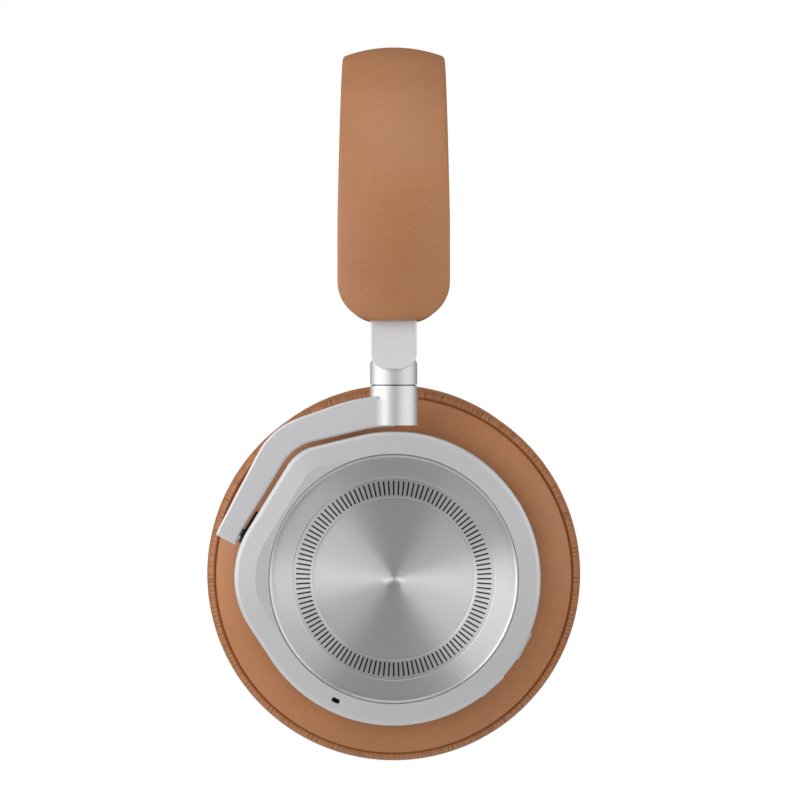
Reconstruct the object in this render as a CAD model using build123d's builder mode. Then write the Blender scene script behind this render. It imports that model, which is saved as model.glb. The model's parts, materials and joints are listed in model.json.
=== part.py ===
"""Over-ear headphones with a leather-wrapped headband, sliding stems and one-sided aluminium yokes.

Frame: +Z up, +X towards the wearer's left, -Y towards the face. The origin is on the crest of the
headband cushion's underside, where a head or a stand's hook carries the headphones. Millimetres.
Everything is drawn for the left side (+X). The right side is its mirror image in the YZ plane.
"""

from math import acos, atan2, cos, degrees, radians, sin
import os

from build123d import *


# ---- Headband -------------------------------------------------------------------------------
BAND_WIDTH = 28.5
BAND_THICKNESS = 13.0
CROWN_RISE = 2.5  # how far the middle of the outer leather stands above its edges
TOP_RADIUS = 92.0
SHOULDER_RADIUS = 42.0
SHOULDER_START = 46.0  # degrees from vertical where the top arc meets the shoulder arc
BAND_END_Z = -60.0
BAND_CORNER = 10.0  # rounding of the band's end, seen from the side
TAPER = (-34.0, 0.8)  # the band's sides draw in from this height, this much each by the crest
LEATHER = 1.2
CUSHION_TOP = 8.4  # depth of the cushion's upper face below the outer crest line
FRAME_DEPTHS = (4.2, 5.6, 8.2)  # rail top, floor of the channel, rail bottom
FRAME_HALF_WIDTH = 10.5
RAIL = 1.8
FRAME_FIRST_ANGLE = 10.0  # the frame halves start this far from the crest
CORE = (5.7, 0.7, 8.0)  # depth, thickness and half width of the spring strip
CORE_LAST_ANGLE = 60.0
FLEX_LINE = (6.6, 0.5, 4.0)  # the same three figures for the flat cable between the cups
FLEX_LINE_LAST_ANGLE = 57.0


# ---- Slider stem ----------------------------------------------------------------------------
STEM_WIDTH = 11.7
STEM_THICKNESS = 2.2
STEM_DEPTH = 4.9  # from the band's outer face to the stem's outer face
STEM_INSIDE = 25.0
STEM_FOOT_Z = -72.2
STEM_CORNER = 4.0
SLIDE_GAP = 0.1
GUIDE_HEIGHT = 5.0


# ---- Swivel ---------------------------------------------------------------------------------
BARREL_RADIUS = 6.0
BARREL_PROUD = 1.3  # how far the barrel reaches past the stem's inner face
BARREL_TOP_Z = -69.8
SPLIT_Z = -76.3
SPLIT_GAP = 0.3
BARREL_FOOT_Z = -86.5
SWIVEL_PIN_RADIUS = 2.0
RUNNING_GAP = 0.03


# ---- Ear cup: depths run inwards from the rim of the cap disc --------------------------------
CUP_Z = -125.4
SWIVEL_DEPTH = 8.0
HOUSING_RADIUS = 37.3
CORNER_UPPER = (29.4, 127.8, 10.5)  # distance and direction of the centre, then the radius
CORNER_LOWER = (17.65, 178.7, 22.8)
HOUSING_DEPTH = 16.0
HOUSING_WALL = 1.8
HOUSING_SLOPE = (0.9, 5.4)
HOUSING_EDGE = 1.3
DISC_RADIUS = 31.6
DISC_SEAT_DEPTH = 4.7
DISC_SEAT_HOLE = 27.0
CAVITY_DEPTH = 6.2
SLOT_COUNT = 120
SLOT_RADII = (21.2, 24.9)
SLOT_WIDTH = 0.42
SLOT_DEEP = 0.7
BAFFLE_DEPTH = 17.6
SCREW_CIRCLE = 32.4
SCREW_ANGLES = (15.0, 130.0, 230.0)
SCREEN_DEPTH = 18.4


# ---- Ear pad --------------------------------------------------------------------------------
PAD_RADIUS = 48.0
PAD_DEPTH = 46.0
PAD_WIDEST_DEPTH = 28.5
SEAM = (45.8, 23.8)  # radius and depth of the sewn seam
PAD_HOLE = 27.4
PAD_FLAT = (35.5, 40.0)  # the ring that lies flat against the head


# ---- Yoke and tilt hinge --------------------------------------------------------------------
ARM_DEPTHS = (3.0, 9.0)
ARM_CLEARANCE = 1.2
ARM_GROWTH = (9.2, 8.1, 6.7)  # arm's outer edge: growth at the top, upper corner and lower corner
TILT_DEPTH = 6.0
TILT_ANGLE = 164.0  # direction of the tilt pin seen from outside, from the cup's centre
TILT_PIN_RADIUS = 1.5
BUSH_RADIUS = 2.2
LIP_SIZE = (9.0, 4.6)  # the black lip beside the hinge, along the wall and across it
LIP_PROUD = 0.75
ARM_EDGE = 0.6
ARM_EASE = 8.0  # rounding where the arm's outer face runs into the barrel
ARM_EASE_HEIGHT = 6.7
ARM_CUT_ANGLE = 152.0
ARM_CUT_AT = (-42.5, 9.7)


# ---- Controls and sockets -------------------------------------------------------------------
KEY_DEPTH = 10.6
KEY_SIZE = (8.0, 3.2)
KEY_PROUD = 0.6
KEY_GAP = 0.15
KEY_ANGLES_LEFT = {"noise_button": -28.0, "assistant_button": -48.0}
KEY_ANGLES_RIGHT = {"volume_up_button": -18.0, "play_button": -35.0, "volume_down_button": -52.0}
POWER_ANGLE = -72.0
POWER_SLOT = (8.2, 3.0)
POWER_TRAVEL = 2.8
SOCKET_ANGLE = -90.0
SOCKET_DEPTH = 10.6
JACK_BORE = 1.8
JACK_LENGTH = 13.0
JACK_RADIUS = 3.2
USB_OPENING = (9.0, 3.3)
USB_LENGTH = 7.4
MIC_AT = (-14.7, -30.8)
MIC_SIZE = (2.2, 1.2)


# ---- Values worked out from the ones above ----------------------------------------------------
leg_x = TOP_RADIUS * sin(radians(SHOULDER_START)) + SHOULDER_RADIUS * (1 - sin(radians(SHOULDER_START)))
shoulder_x = leg_x - SHOULDER_RADIUS
top_centre_z = BAND_THICKNESS - TOP_RADIUS
shoulder_z = top_centre_z + (TOP_RADIUS - SHOULDER_RADIUS) * cos(radians(SHOULDER_START))
stem_outer_x = leg_x - STEM_DEPTH
stem_inner_x = stem_outer_x - STEM_THICKNESS
swivel_x = stem_inner_x + BARREL_PROUD - BARREL_RADIUS
rim_x = swivel_x + SWIVEL_DEPTH

cup = Plane(origin=(rim_x, 0, CUP_Z), x_dir=(0, 1, 0), z_dir=(1, 0, 0))
turned = Plane(origin=(rim_x, 0, CUP_Z), x_dir=(0, 1, 0), z_dir=(0, 0, 1))
cup_axis = Axis((rim_x, 0, CUP_Z), (1, 0, 0))
band_section = Plane(origin=(leg_x, 0, BAND_END_Z), x_dir=(0, 1, 0), z_dir=(0, 0, 1))


def around(angle):
    """Unit vector in the cup's face, at this many degrees from the rear."""
    return Vector(cos(radians(angle)), sin(radians(angle)))


def wall_plane(angle, radius, depth):
    """Plane on the cup's side, facing outwards, with X along the wall and Y towards the outside."""
    out = around(angle)
    centre = cup.from_local_coords((radius * out.X, radius * out.Y, -depth))
    normal = Vector(0, out.X, out.Y)
    along = Vector(0, -out.Y, out.X)
    return Plane(origin=centre, x_dir=along, z_dir=normal)


# ---- Headband ---------------------------------------------------------------------------------
def band_path(last=90.0, first=None):
    """Outer crest line of the band as edges, from the left side to the right side or to `first`.

    `last` is the angle from vertical where the line starts on the left, 90 with the whole leg.
    `first` is the angle where it ends, on the left as well. Without it the line is symmetric.
    """

    def top(angle):
        return (TOP_RADIUS * sin(radians(angle)), top_centre_z + TOP_RADIUS * cos(radians(angle)))

    def shoulder(angle):
        return (
            shoulder_x + SHOULDER_RADIUS * sin(radians(angle)),
            shoulder_z + SHOULDER_RADIUS * cos(radians(angle)),
        )

    def flipped(point):
        return (-point[0], point[1])

    middle = (last + SHOULDER_START) / 2
    with BuildLine(Plane.XZ) as line:
        if last == 90.0:
            Line((leg_x, BAND_END_Z), shoulder(last))
        ThreePointArc(shoulder(last), shoulder(middle), top(SHOULDER_START))
        if first is None:
            ThreePointArc(top(SHOULDER_START), top(0), flipped(top(SHOULDER_START)))
            ThreePointArc(flipped(top(SHOULDER_START)), flipped(shoulder(middle)), flipped(shoulder(last)))
            if last == 90.0:
                Line(flipped(shoulder(last)), (-leg_x, BAND_END_Z))
        else:
            ThreePointArc(top(SHOULDER_START), top((first + SHOULDER_START) / 2), top(first))
    return line


def band_start(last):
    """Plane across the band where band_path(last) starts: X across the band, Y inwards."""
    if last == 90.0:
        return band_section
    angle = radians(last)
    start = (shoulder_x + SHOULDER_RADIUS * sin(angle), 0, shoulder_z + SHOULDER_RADIUS * cos(angle))
    return Plane(origin=start, x_dir=(0, 1, 0), z_dir=(-cos(angle), 0, sin(angle)))


def end_profile(inset):
    """The band seen from the side, with its two round lower corners, as a block to keep."""
    half = BAND_WIDTH / 2 - inset
    low = BAND_END_Z + inset
    high = 2 * BAND_THICKNESS
    drawn_in = TAPER[1] * (high - TAPER[0]) / (BAND_THICKNESS - TAPER[0])
    with BuildPart() as block:
        with BuildSketch(Plane.YZ):
            with BuildLine():
                Polyline(
                    (-half, low),
                    (half, low),
                    (half, TAPER[0]),
                    (half - drawn_in, high),
                    (drawn_in - half, high),
                    (-half, TAPER[0]),
                    close=True,
                )
            make_face()
        extrude(amount=leg_x + 10, both=True)
        fillet(block.edges().filter_by(Axis.X).group_by(Axis.Z)[0], BAND_CORNER - inset)
    return block.part


def crowned_outline(inset, bottom):
    """Section of the band with its crowned outer face `inset` inside the leather's outer face."""
    half = BAND_WIDTH / 2 - inset
    edge = CROWN_RISE + inset
    with BuildSketch() as section:
        with BuildLine():
            ThreePointArc((-half, edge), (0, inset), (half, edge))
            Polyline((half, edge), (half, bottom), (-half, bottom), (-half, edge))
        make_face()
        if inset == 0:
            fillet(section.vertices().group_by(Axis.Y)[0], LEATHER)
    return section.sketch


def stem_slots():
    """Blocks that open the band's two ends for the stems."""
    with BuildPart() as slots:
        for side in (1, -1):
            with Locations((side * (stem_outer_x + stem_inner_x) / 2, 0, BAND_END_Z)):
                Box(STEM_THICKNESS + 4 * SLIDE_GAP, STEM_WIDTH + 4 * SLIDE_GAP, 6 * LEATHER)
    return slots.part

# Leather sleeve: crowned outer face, both sides and the round ends, open to the cushion.
with BuildPart() as skin:
    with BuildSketch(band_section):
        add(crowned_outline(0, CUSHION_TOP))
    sweep(path=band_path().wire())
    add(end_profile(0), mode=Mode.INTERSECT)
with BuildPart() as inside:
    with BuildSketch(band_section):
        add(crowned_outline(LEATHER, CUSHION_TOP + 5))
    sweep(path=band_path().wire())
    add(end_profile(LEATHER), mode=Mode.INTERSECT)
with BuildPart() as headband_cover:
    add(skin.part)
    add(inside.part, mode=Mode.SUBTRACT)
    add(stem_slots(), mode=Mode.SUBTRACT)

# Foam pad under the band, crowned towards the head.
half = BAND_WIDTH / 2 - 0.6
with BuildPart() as headband_cushion:
    with BuildSketch(band_section):
        with BuildLine():
            Polyline((-half, CUSHION_TOP + 1.2), (-half, CUSHION_TOP + 0.05))
            Line((-half, CUSHION_TOP + 0.05), (half, CUSHION_TOP + 0.05))
            Line((half, CUSHION_TOP + 0.05), (half, CUSHION_TOP + 1.2))
            ThreePointArc((half, CUSHION_TOP + 1.2), (0, BAND_THICKNESS), (-half, CUSHION_TOP + 1.2))
        make_face()
    sweep(path=band_path().wire())
    add(end_profile(0.6), mode=Mode.INTERSECT)


def strip(depth, thickness, half_width, last):
    """A flat strip that follows the band, symmetric about its crest."""
    with BuildPart() as piece:
        with BuildSketch(band_start(last)):
            with Locations((0, depth + thickness / 2)):
                Rectangle(2 * half_width, thickness)
        sweep(path=band_path(last).wire())
    return piece

# Saddle at the crest that carries the middle of the spring strip.
depth = (FRAME_DEPTHS[0] + FRAME_DEPTHS[1]) / 2
with BuildPart() as crown_bridge:
    with Locations((0, 0, BAND_THICKNESS - depth)):
        Box(9.0, 2 * (FRAME_HALF_WIDTH - RAIL), FRAME_DEPTHS[1] - FRAME_DEPTHS[0] - 0.2)
    for side in (1, -1):
        with Locations((0, side * (CORE[2] + 0.6), BAND_THICKNESS - FRAME_DEPTHS[1] - 0.4)):
            Box(9.0, 0.8, 1.4)

# Half of the inner frame: a floor with two rails, and the stem's channel in its leg.
top, floor, bottom = FRAME_DEPTHS
inner = FRAME_HALF_WIDTH - RAIL
path = band_path(first=FRAME_FIRST_ANGLE)
with BuildPart() as band_frame:
    with BuildSketch(band_section):
        with BuildLine():
            Polyline(
                (-FRAME_HALF_WIDTH, top),
                (FRAME_HALF_WIDTH, top),
                (FRAME_HALF_WIDTH, bottom),
                (inner, bottom),
                (inner, floor),
                (-inner, floor),
                (-inner, bottom),
                (-FRAME_HALF_WIDTH, bottom),
                close=True,
            )
        make_face()
    sweep(path=path.wire())
    guide_z = BAND_END_Z + LEATHER + 1.0 + GUIDE_HEIGHT / 2
    guide_x = leg_x - (top + bottom) / 2
    with Locations((guide_x, 0, guide_z)):
        Box(bottom - top, 2 * inner, GUIDE_HEIGHT)
    add(end_profile(LEATHER + 1.0), mode=Mode.INTERSECT)
    middle = (stem_outer_x + stem_inner_x) / 2
    with Locations((middle, 0, BAND_END_Z + GUIDE_HEIGHT)):
        Box(STEM_THICKNESS + 2 * SLIDE_GAP, STEM_WIDTH + 2 * SLIDE_GAP, 20, mode=Mode.SUBTRACT)
    run = STEM_INSIDE + 14.0
    above = BAND_END_Z + LEATHER + 1.0 + GUIDE_HEIGHT
    with Locations((middle, 0, above + run / 2)):
        Box(STEM_THICKNESS + 3.0, STEM_WIDTH + 2.0, run, mode=Mode.SUBTRACT)

# Dark plastic throat just inside the band's end, around the stem.
top, _, bottom = FRAME_DEPTHS
with BuildPart() as end_trim:
    with Locations((leg_x - (top + bottom) / 2, 0, BAND_END_Z + LEATHER + 0.5)):
        Box(bottom - top, STEM_WIDTH + 4.0, 0.8)
    with Locations(((stem_outer_x + stem_inner_x) / 2, 0, BAND_END_Z + LEATHER)):
        Box(STEM_THICKNESS + 2 * SLIDE_GAP, STEM_WIDTH + 2 * SLIDE_GAP, 4.0, mode=Mode.SUBTRACT)
    add(end_profile(LEATHER + 0.1), mode=Mode.INTERSECT)

# Leaf spring between the frame's rail and the stem's edge that holds the chosen length.
z = BAND_END_Z + 12.0
x = (stem_outer_x + stem_inner_x) / 2
y = STEM_WIDTH / 2
with BuildPart() as detent_spring:
    with BuildSketch(Plane.YZ.offset(x - 0.8)):
        with BuildLine():
            Line((y + 0.85, z - 4.5), (y + 0.85, z - 3.5))
            ThreePointArc((y + 0.85, z - 3.5), (y + 0.42, z), (y + 0.85, z + 3.5))
            Line((y + 0.85, z + 3.5), (y + 0.85, z + 4.5))
        trace(line_width=0.24)
    extrude(amount=1.6)


# ---- Stem and swivel --------------------------------------------------------------------------
# Flat aluminium slider with a round foot over the swivel barrel.
top_z = BAND_END_Z + STEM_INSIDE
with BuildPart() as stem:
    with BuildSketch(Plane.YZ.offset(stem_inner_x)):
        with Locations((0, (top_z + STEM_FOOT_Z) / 2)):
            RectangleRounded(STEM_WIDTH, top_z - STEM_FOOT_Z, STEM_CORNER)
    extrude(amount=STEM_THICKNESS)
    fillet(stem.faces().sort_by(Axis.X)[-1].edges(), 0.4)

# Plastic shoe on the stem's upper end that runs in the frame and stops the stem coming out.
top_z = BAND_END_Z + STEM_INSIDE
with BuildPart() as slider_shoe:
    with Locations((stem_inner_x - 0.5, 0, top_z - 2.0)):
        Box(1.0, STEM_WIDTH - 1.0, 4.0)
    fillet(slider_shoe.edges().filter_by(Axis.X), 1.0)

# Upper half of the swivel knuckle, with a flat for the stem and a running bore for the pin.
low = SPLIT_Z + SPLIT_GAP / 2
with BuildPart() as swivel_barrel:
    with BuildSketch(Plane.XY.offset(low)):
        with Locations((swivel_x, 0)):
            Circle(BARREL_RADIUS)
    extrude(amount=BARREL_TOP_Z - low)
    fillet(swivel_barrel.edges().group_by(Axis.Z)[-1], 1.2)
    with BuildSketch(Plane.YZ.offset(stem_inner_x)):
        with Locations((0, STEM_FOOT_Z + 10)):
            RectangleRounded(STEM_WIDTH, 20, STEM_CORNER)
    extrude(amount=6, mode=Mode.SUBTRACT)
    with Locations((swivel_x, 0, low + 2.25)):
        Cylinder(SWIVEL_PIN_RADIUS + RUNNING_GAP, 4.5, mode=Mode.SUBTRACT)

# Thin dark washer that shows as a line between the two halves of the knuckle.
with BuildPart() as swivel_washer:
    with Locations((swivel_x, 0, SPLIT_Z)):
        Cylinder(BARREL_RADIUS - 0.5, SPLIT_GAP - 0.06)
        Cylinder(SWIVEL_PIN_RADIUS + RUNNING_GAP, SPLIT_GAP, mode=Mode.SUBTRACT)

# Steel pin fixed in the yoke, turning in the upper barrel.
high = SPLIT_Z + SPLIT_GAP / 2 + 4.3
low = BARREL_FOOT_Z + 2.0
with BuildPart() as swivel_pin:
    with BuildSketch(Plane.XY.offset(low)):
        with Locations((swivel_x, 0)):
            Circle(SWIVEL_PIN_RADIUS)
    extrude(amount=high - low)
    chamfer(swivel_pin.edges().group_by(Axis.Z)[-1], 0.3)


# ---- Housing outline ----------------------------------------------------------------------------
def housing_outline(grow_round, grow_upper, grow_lower):
    """Face of the housing's outline: three circles and the lines that touch them in turn."""
    upper = around(CORNER_UPPER[1]) * CORNER_UPPER[0]
    lower = around(CORNER_LOWER[1]) * CORNER_LOWER[0]
    circles = [
        (Vector(0, 0), HOUSING_RADIUS + grow_round),
        (upper, CORNER_UPPER[2] + grow_upper),
        (lower, CORNER_LOWER[2] + grow_lower),
    ]
    normals = []
    for (here, r), (there, s) in zip(circles, circles[1:] + circles[:1]):
        run = there - here
        normals.append(degrees(atan2(run.Y, run.X) - acos((r - s) / run.length)))
    with BuildSketch() as face:
        with BuildLine():
            for i, (centre, radius) in enumerate(circles):
                begin, end = normals[i - 1], normals[i]
                sweep_angle = (end - begin) % 360
                arc = CenterArc(centre, radius, begin, sweep_angle)
                following = circles[(i + 1) % 3]
                Line(arc @ 1, following[0] + around(end) * following[1])
        make_face()
    return face.sketch


def key_pockets(angles):
    """Openings for the keys, cut through the housing's wall."""
    with BuildPart() as pockets:
        for angle in angles:
            with BuildSketch(wall_plane(angle, HOUSING_RADIUS - 4, KEY_DEPTH)):
                SlotOverall(KEY_SIZE[0] + 2 * KEY_GAP, KEY_SIZE[1] + 2 * KEY_GAP)
            extrude(amount=8)
    return pockets.part


def power_pocket():
    """Slot for the power slider's knob."""
    with BuildPart() as pocket:
        with BuildSketch(wall_plane(POWER_ANGLE, HOUSING_RADIUS - 4, KEY_DEPTH)):
            SlotOverall(POWER_SLOT[0] + 2 * KEY_GAP, POWER_SLOT[1] + 2 * KEY_GAP)
        extrude(amount=8)
    return pocket.part


def mic_slot(start_depth, end_depth, grow):
    """Oval block on the microphone's axis between two depths."""
    angle = degrees(atan2(MIC_AT[1], MIC_AT[0])) + 90
    with BuildPart() as block:
        with BuildSketch(cup.offset(-end_depth)):
            with Locations(Location((MIC_AT[0], MIC_AT[1], 0), (0, 0, angle))):
                SlotOverall(MIC_SIZE[0] + 2 * grow, MIC_SIZE[1] + 2 * grow)
        extrude(amount=end_depth - start_depth)
    return block.part


def outer_housing(key_angles, left):
    """Moulded shell of the cup: sloping face, side wall, disc seat, screw posts and openings."""
    with BuildPart() as shell:
        with BuildSketch(cup.offset(-HOUSING_DEPTH)):
            add(housing_outline(0, 0, 0))
        extrude(amount=HOUSING_DEPTH)
        rim = shell.faces().sort_by(Axis.X)[-1].edges()
        chamfer(rim, length=HOUSING_SLOPE[0], length2=HOUSING_SLOPE[1])
        at_slope = rim_x - HOUSING_SLOPE[0]
        slope_edge = shell.edges().filter_by(lambda edge: abs(edge.center().X - at_slope) < 0.05)
        fillet(slope_edge, HOUSING_EDGE)
        with BuildSketch(cup.offset(1)):
            Circle(DISC_RADIUS + 0.1)
        extrude(amount=-(DISC_SEAT_DEPTH + 1), mode=Mode.SUBTRACT)
        with BuildSketch(cup):
            Circle(DISC_SEAT_HOLE)
        extrude(amount=-(CAVITY_DEPTH + 1), mode=Mode.SUBTRACT)
        with BuildSketch(cup.offset(-HOUSING_DEPTH - 1)):
            add(housing_outline(-HOUSING_WALL, -HOUSING_WALL, -HOUSING_WALL))
        extrude(amount=HOUSING_DEPTH + 1 - CAVITY_DEPTH, mode=Mode.SUBTRACT)
        with BuildSketch(cup.offset(-HOUSING_DEPTH)):
            for angle in SCREW_ANGLES:
                with Locations(around(angle) * SCREW_CIRCLE):
                    Circle(2.3)
        extrude(amount=HOUSING_DEPTH - CAVITY_DEPTH)
        with BuildSketch(cup.offset(-HOUSING_DEPTH)):
            for angle in SCREW_ANGLES:
                with Locations(around(angle) * SCREW_CIRCLE):
                    Circle(1.05)
        extrude(amount=7, mode=Mode.SUBTRACT)
        with BuildSketch(wall_plane(TILT_ANGLE, 33.4, TILT_DEPTH)):
            Circle(BUSH_RADIUS)
        extrude(amount=12, mode=Mode.SUBTRACT)
        add(key_pockets(key_angles), mode=Mode.SUBTRACT)
        add(mic_slot(-1, CAVITY_DEPTH + 1, 0), mode=Mode.SUBTRACT)
        if left:
            with BuildSketch(wall_plane(SOCKET_ANGLE, 30, SOCKET_DEPTH)):
                Circle(JACK_RADIUS)
            extrude(amount=12, mode=Mode.SUBTRACT)
        else:
            add(power_pocket(), mode=Mode.SUBTRACT)
            with BuildSketch(wall_plane(SOCKET_ANGLE, 30, SOCKET_DEPTH)):
                SlotOverall(USB_OPENING[0] + 1.6, USB_OPENING[1] + 1.6)
            extrude(amount=12, mode=Mode.SUBTRACT)
    return shell

# Turned aluminium disc, dished towards its centre, with a ring of fine radial slots.
with BuildPart() as cap_disc:
    with BuildSketch(turned):
        with BuildLine():
            Polyline(
                (0, DISC_SEAT_DEPTH),
                (0, 3.1),
                (20.6, 2.55),
                (20.75, 2.3),
                (25.7, 2.0),
                (25.85, 1.75),
                (DISC_RADIUS - 0.75, 0.95),
                (DISC_RADIUS - 0.25, 0.05),
                (DISC_RADIUS, 0.3),
                (DISC_RADIUS, DISC_SEAT_DEPTH),
                close=True,
            )
        make_face()
    revolve(axis=cup_axis)
    middle = (SLOT_RADII[0] + SLOT_RADII[1]) / 2
    with BuildSketch(cup.offset(-2.15 - SLOT_DEEP)):
        with PolarLocations(middle, SLOT_COUNT):
            SlotOverall(SLOT_RADII[1] - SLOT_RADII[0], SLOT_WIDTH)
    extrude(amount=SLOT_DEEP + 1, mode=Mode.SUBTRACT)

# Rubber boot that closes the microphone's hole just under the housing's face.
with BuildPart() as mic_boot:
    add(mic_slot(2.2, CAVITY_DEPTH + 0.05, -0.02))
    add(mic_slot(CAVITY_DEPTH + 0.05, CAVITY_DEPTH + 2.4, 0.35))

# Black bush in the housing that the tilt pin turns in, with a lip that runs up the wall.
with BuildPart() as lip:
    with BuildSketch(cup.offset(-TILT_DEPTH - LIP_SIZE[1] / 2)):
        add(housing_outline(LIP_PROUD, LIP_PROUD, LIP_PROUD))
        add(housing_outline(0, 0, 0), mode=Mode.SUBTRACT)
    extrude(amount=LIP_SIZE[1])
    with BuildSketch(wall_plane(TILT_ANGLE, 30, TILT_DEPTH)):
        with Locations((-LIP_SIZE[0] / 2 + BUSH_RADIUS, 0)):
            SlotOverall(*LIP_SIZE)
    extrude(amount=15, mode=Mode.INTERSECT)
with BuildPart() as hinge_bush:
    with BuildSketch(wall_plane(TILT_ANGLE, 33.6, TILT_DEPTH)):
        Circle(BUSH_RADIUS)
    extrude(amount=39.4 - 33.6)
    add(lip.part)
    with BuildSketch(wall_plane(TILT_ANGLE, 33.0, TILT_DEPTH)):
        Circle(TILT_PIN_RADIUS + RUNNING_GAP)
    extrude(amount=12, mode=Mode.SUBTRACT)


# ---- Yoke ---------------------------------------------------------------------------------------
# One-sided arm: a lower barrel at the top, then a bar that follows the housing to the hinge.
normal = around(ARM_CUT_ANGLE)
tangent = Vector(normal.Y, -normal.X)
cut = Vector(*ARM_CUT_AT)
with BuildPart() as yoke:
    with BuildSketch(cup.offset(-ARM_DEPTHS[1])):
        add(housing_outline(*ARM_GROWTH))
        add(housing_outline(ARM_CLEARANCE, ARM_CLEARANCE, ARM_CLEARANCE), mode=Mode.SUBTRACT)
        with BuildLine():
            corner = cut + normal * 20
            Polyline(cut - normal * 12, corner, corner + tangent * 60, (0, 60), (0, 20), close=True)
        make_face(mode=Mode.INTERSECT)
    extrude(amount=ARM_DEPTHS[1] - ARM_DEPTHS[0])
    fillet(yoke.faces().sort_by(Axis.X)[-1].edges(), ARM_EDGE)
    high = SPLIT_Z - SPLIT_GAP / 2
    with BuildSketch(Plane.XY.offset(BARREL_FOOT_Z)):
        with Locations((swivel_x, 0)):
            Circle(BARREL_RADIUS)
    extrude(amount=high - BARREL_FOOT_Z)
    face_x = rim_x - ARM_DEPTHS[0]
    ease_x = face_x + ARM_EASE
    ease_y = -(((BARREL_RADIUS + ARM_EASE) ** 2 - (ease_x - swivel_x) ** 2) ** 0.5)
    to_barrel = (Vector(swivel_x, 0) - Vector(ease_x, ease_y)).normalized()
    halfway = (to_barrel + Vector(-1, 0)).normalized()
    with BuildSketch(Plane.XY.offset(BARREL_FOOT_Z)):
        with BuildLine():
            web = ThreePointArc(
                (face_x, ease_y),
                Vector(ease_x, ease_y) + halfway * ARM_EASE,
                Vector(ease_x, ease_y) + to_barrel * ARM_EASE,
            )
            Polyline(web @ 1, (swivel_x, 0), (face_x - 1, ease_y), web @ 0)
        make_face()
    extrude(amount=ARM_EASE_HEIGHT)
    with BuildSketch(Plane.XY.offset(BARREL_FOOT_Z + 2.0)):
        with Locations((swivel_x, 0)):
            Circle(SWIVEL_PIN_RADIUS)
    extrude(amount=20, mode=Mode.SUBTRACT)
    with BuildSketch(wall_plane(TILT_ANGLE, 38.0, TILT_DEPTH)):
        Circle(TILT_PIN_RADIUS)
    extrude(amount=6.5, mode=Mode.SUBTRACT)

# Steel pin fixed in the arm's end, turning in the housing's bush.
with BuildPart() as tilt_pin:
    with BuildSketch(wall_plane(TILT_ANGLE, 33.9, TILT_DEPTH)):
        Circle(TILT_PIN_RADIUS)
    extrude(amount=44.5 - 33.9)


# ---- Inside of the cup --------------------------------------------------------------------------
# Inner plate that closes the housing and carries the driver.
with BuildPart() as baffle:
    with BuildSketch(cup.offset(-BAFFLE_DEPTH)):
        add(housing_outline(-0.3, -0.3, -0.3))
        Circle(19.0, mode=Mode.SUBTRACT)
    extrude(amount=BAFFLE_DEPTH - HOUSING_DEPTH)
    with BuildSketch(cup.offset(-BAFFLE_DEPTH)):
        for angle in SCREW_ANGLES:
            with Locations(around(angle) * SCREW_CIRCLE):
                Circle(1.05)
    extrude(amount=2, mode=Mode.SUBTRACT)
    with BuildSketch(cup.offset(-BAFFLE_DEPTH)):
        for angle in SCREW_ANGLES:
            with Locations(around(angle) * SCREW_CIRCLE):
                Circle(1.95)
    extrude(amount=1.0, mode=Mode.SUBTRACT)

# Three screws from the baffle into the housing's posts.
with BuildPart() as housing_screws:
    for angle in SCREW_ANGLES:
        spot = around(angle) * SCREW_CIRCLE
        with BuildSketch(cup.offset(-BAFFLE_DEPTH)):
            with Locations(spot):
                Circle(1.85)
        extrude(amount=0.95)
        with BuildSketch(cup.offset(-BAFFLE_DEPTH)):
            with Locations(spot):
                Circle(1.0)
        extrude(amount=6.5)
        with BuildSketch(cup.offset(-BAFFLE_DEPTH)):
            with Locations(spot):
                RegularPolygon(0.75, 6)
        extrude(amount=0.6, mode=Mode.SUBTRACT)

# Basket of the 40 mm speaker, with its mounting flange on the baffle.
with BuildPart() as driver_frame:
    with BuildSketch(turned):
        with BuildLine():
            Polyline(
                (12.1, 12.0),
                (12.1, 10.6),
                (16.5, 10.6),
                (18.6, 14.4),
                (21.5, 14.4),
                (21.5, HOUSING_DEPTH - 0.02),
                (18.9, HOUSING_DEPTH - 0.02),
                (18.0, 15.0),
                (15.9, 12.0),
                close=True,
            )
        make_face()
    revolve(axis=cup_axis)

# Magnet and back plate of the speaker.
with BuildPart() as driver_magnet:
    with BuildSketch(cup.offset(-12.6)):
        Circle(12.0)
    extrude(amount=12.6 - 7.4)
    chamfer(driver_magnet.faces().sort_by(Axis.X)[-1].edges(), 0.6)

# Domed cone of the speaker.
with BuildPart() as driver_diaphragm:
    with BuildSketch(turned):
        with BuildLine():
            Polyline(
                (0, 15.9),
                (4.5, 15.5),
                (8.5, 14.3),
                (12.0, 15.3),
                (17.8, 15.3),
                (17.8, 15.6),
                (12.0, 15.6),
                (8.5, 14.7),
                (4.5, 15.8),
                (0, 16.2),
                close=True,
            )
        make_face()
    revolve(axis=cup_axis)

# Fabric screen that covers the speaker inside the pad.
with BuildPart() as ear_screen:
    with BuildSketch(cup.offset(-SCREEN_DEPTH)):
        Circle(PAD_HOLE - 0.7)
    extrude(amount=0.6)

# Plastic ring glued to the pad, which snaps on to the baffle.
with BuildPart() as pad_ring:
    with BuildSketch(turned):
        with BuildLine():
            Polyline(
                (PAD_HOLE - 0.4, BAFFLE_DEPTH + 0.1),
                (36.0, BAFFLE_DEPTH + 0.1),
                (36.0, BAFFLE_DEPTH + 1.3),
                (PAD_HOLE - 0.4, BAFFLE_DEPTH + 1.3),
                close=True,
            )
        make_face()
    revolve(axis=cup_axis)

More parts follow.
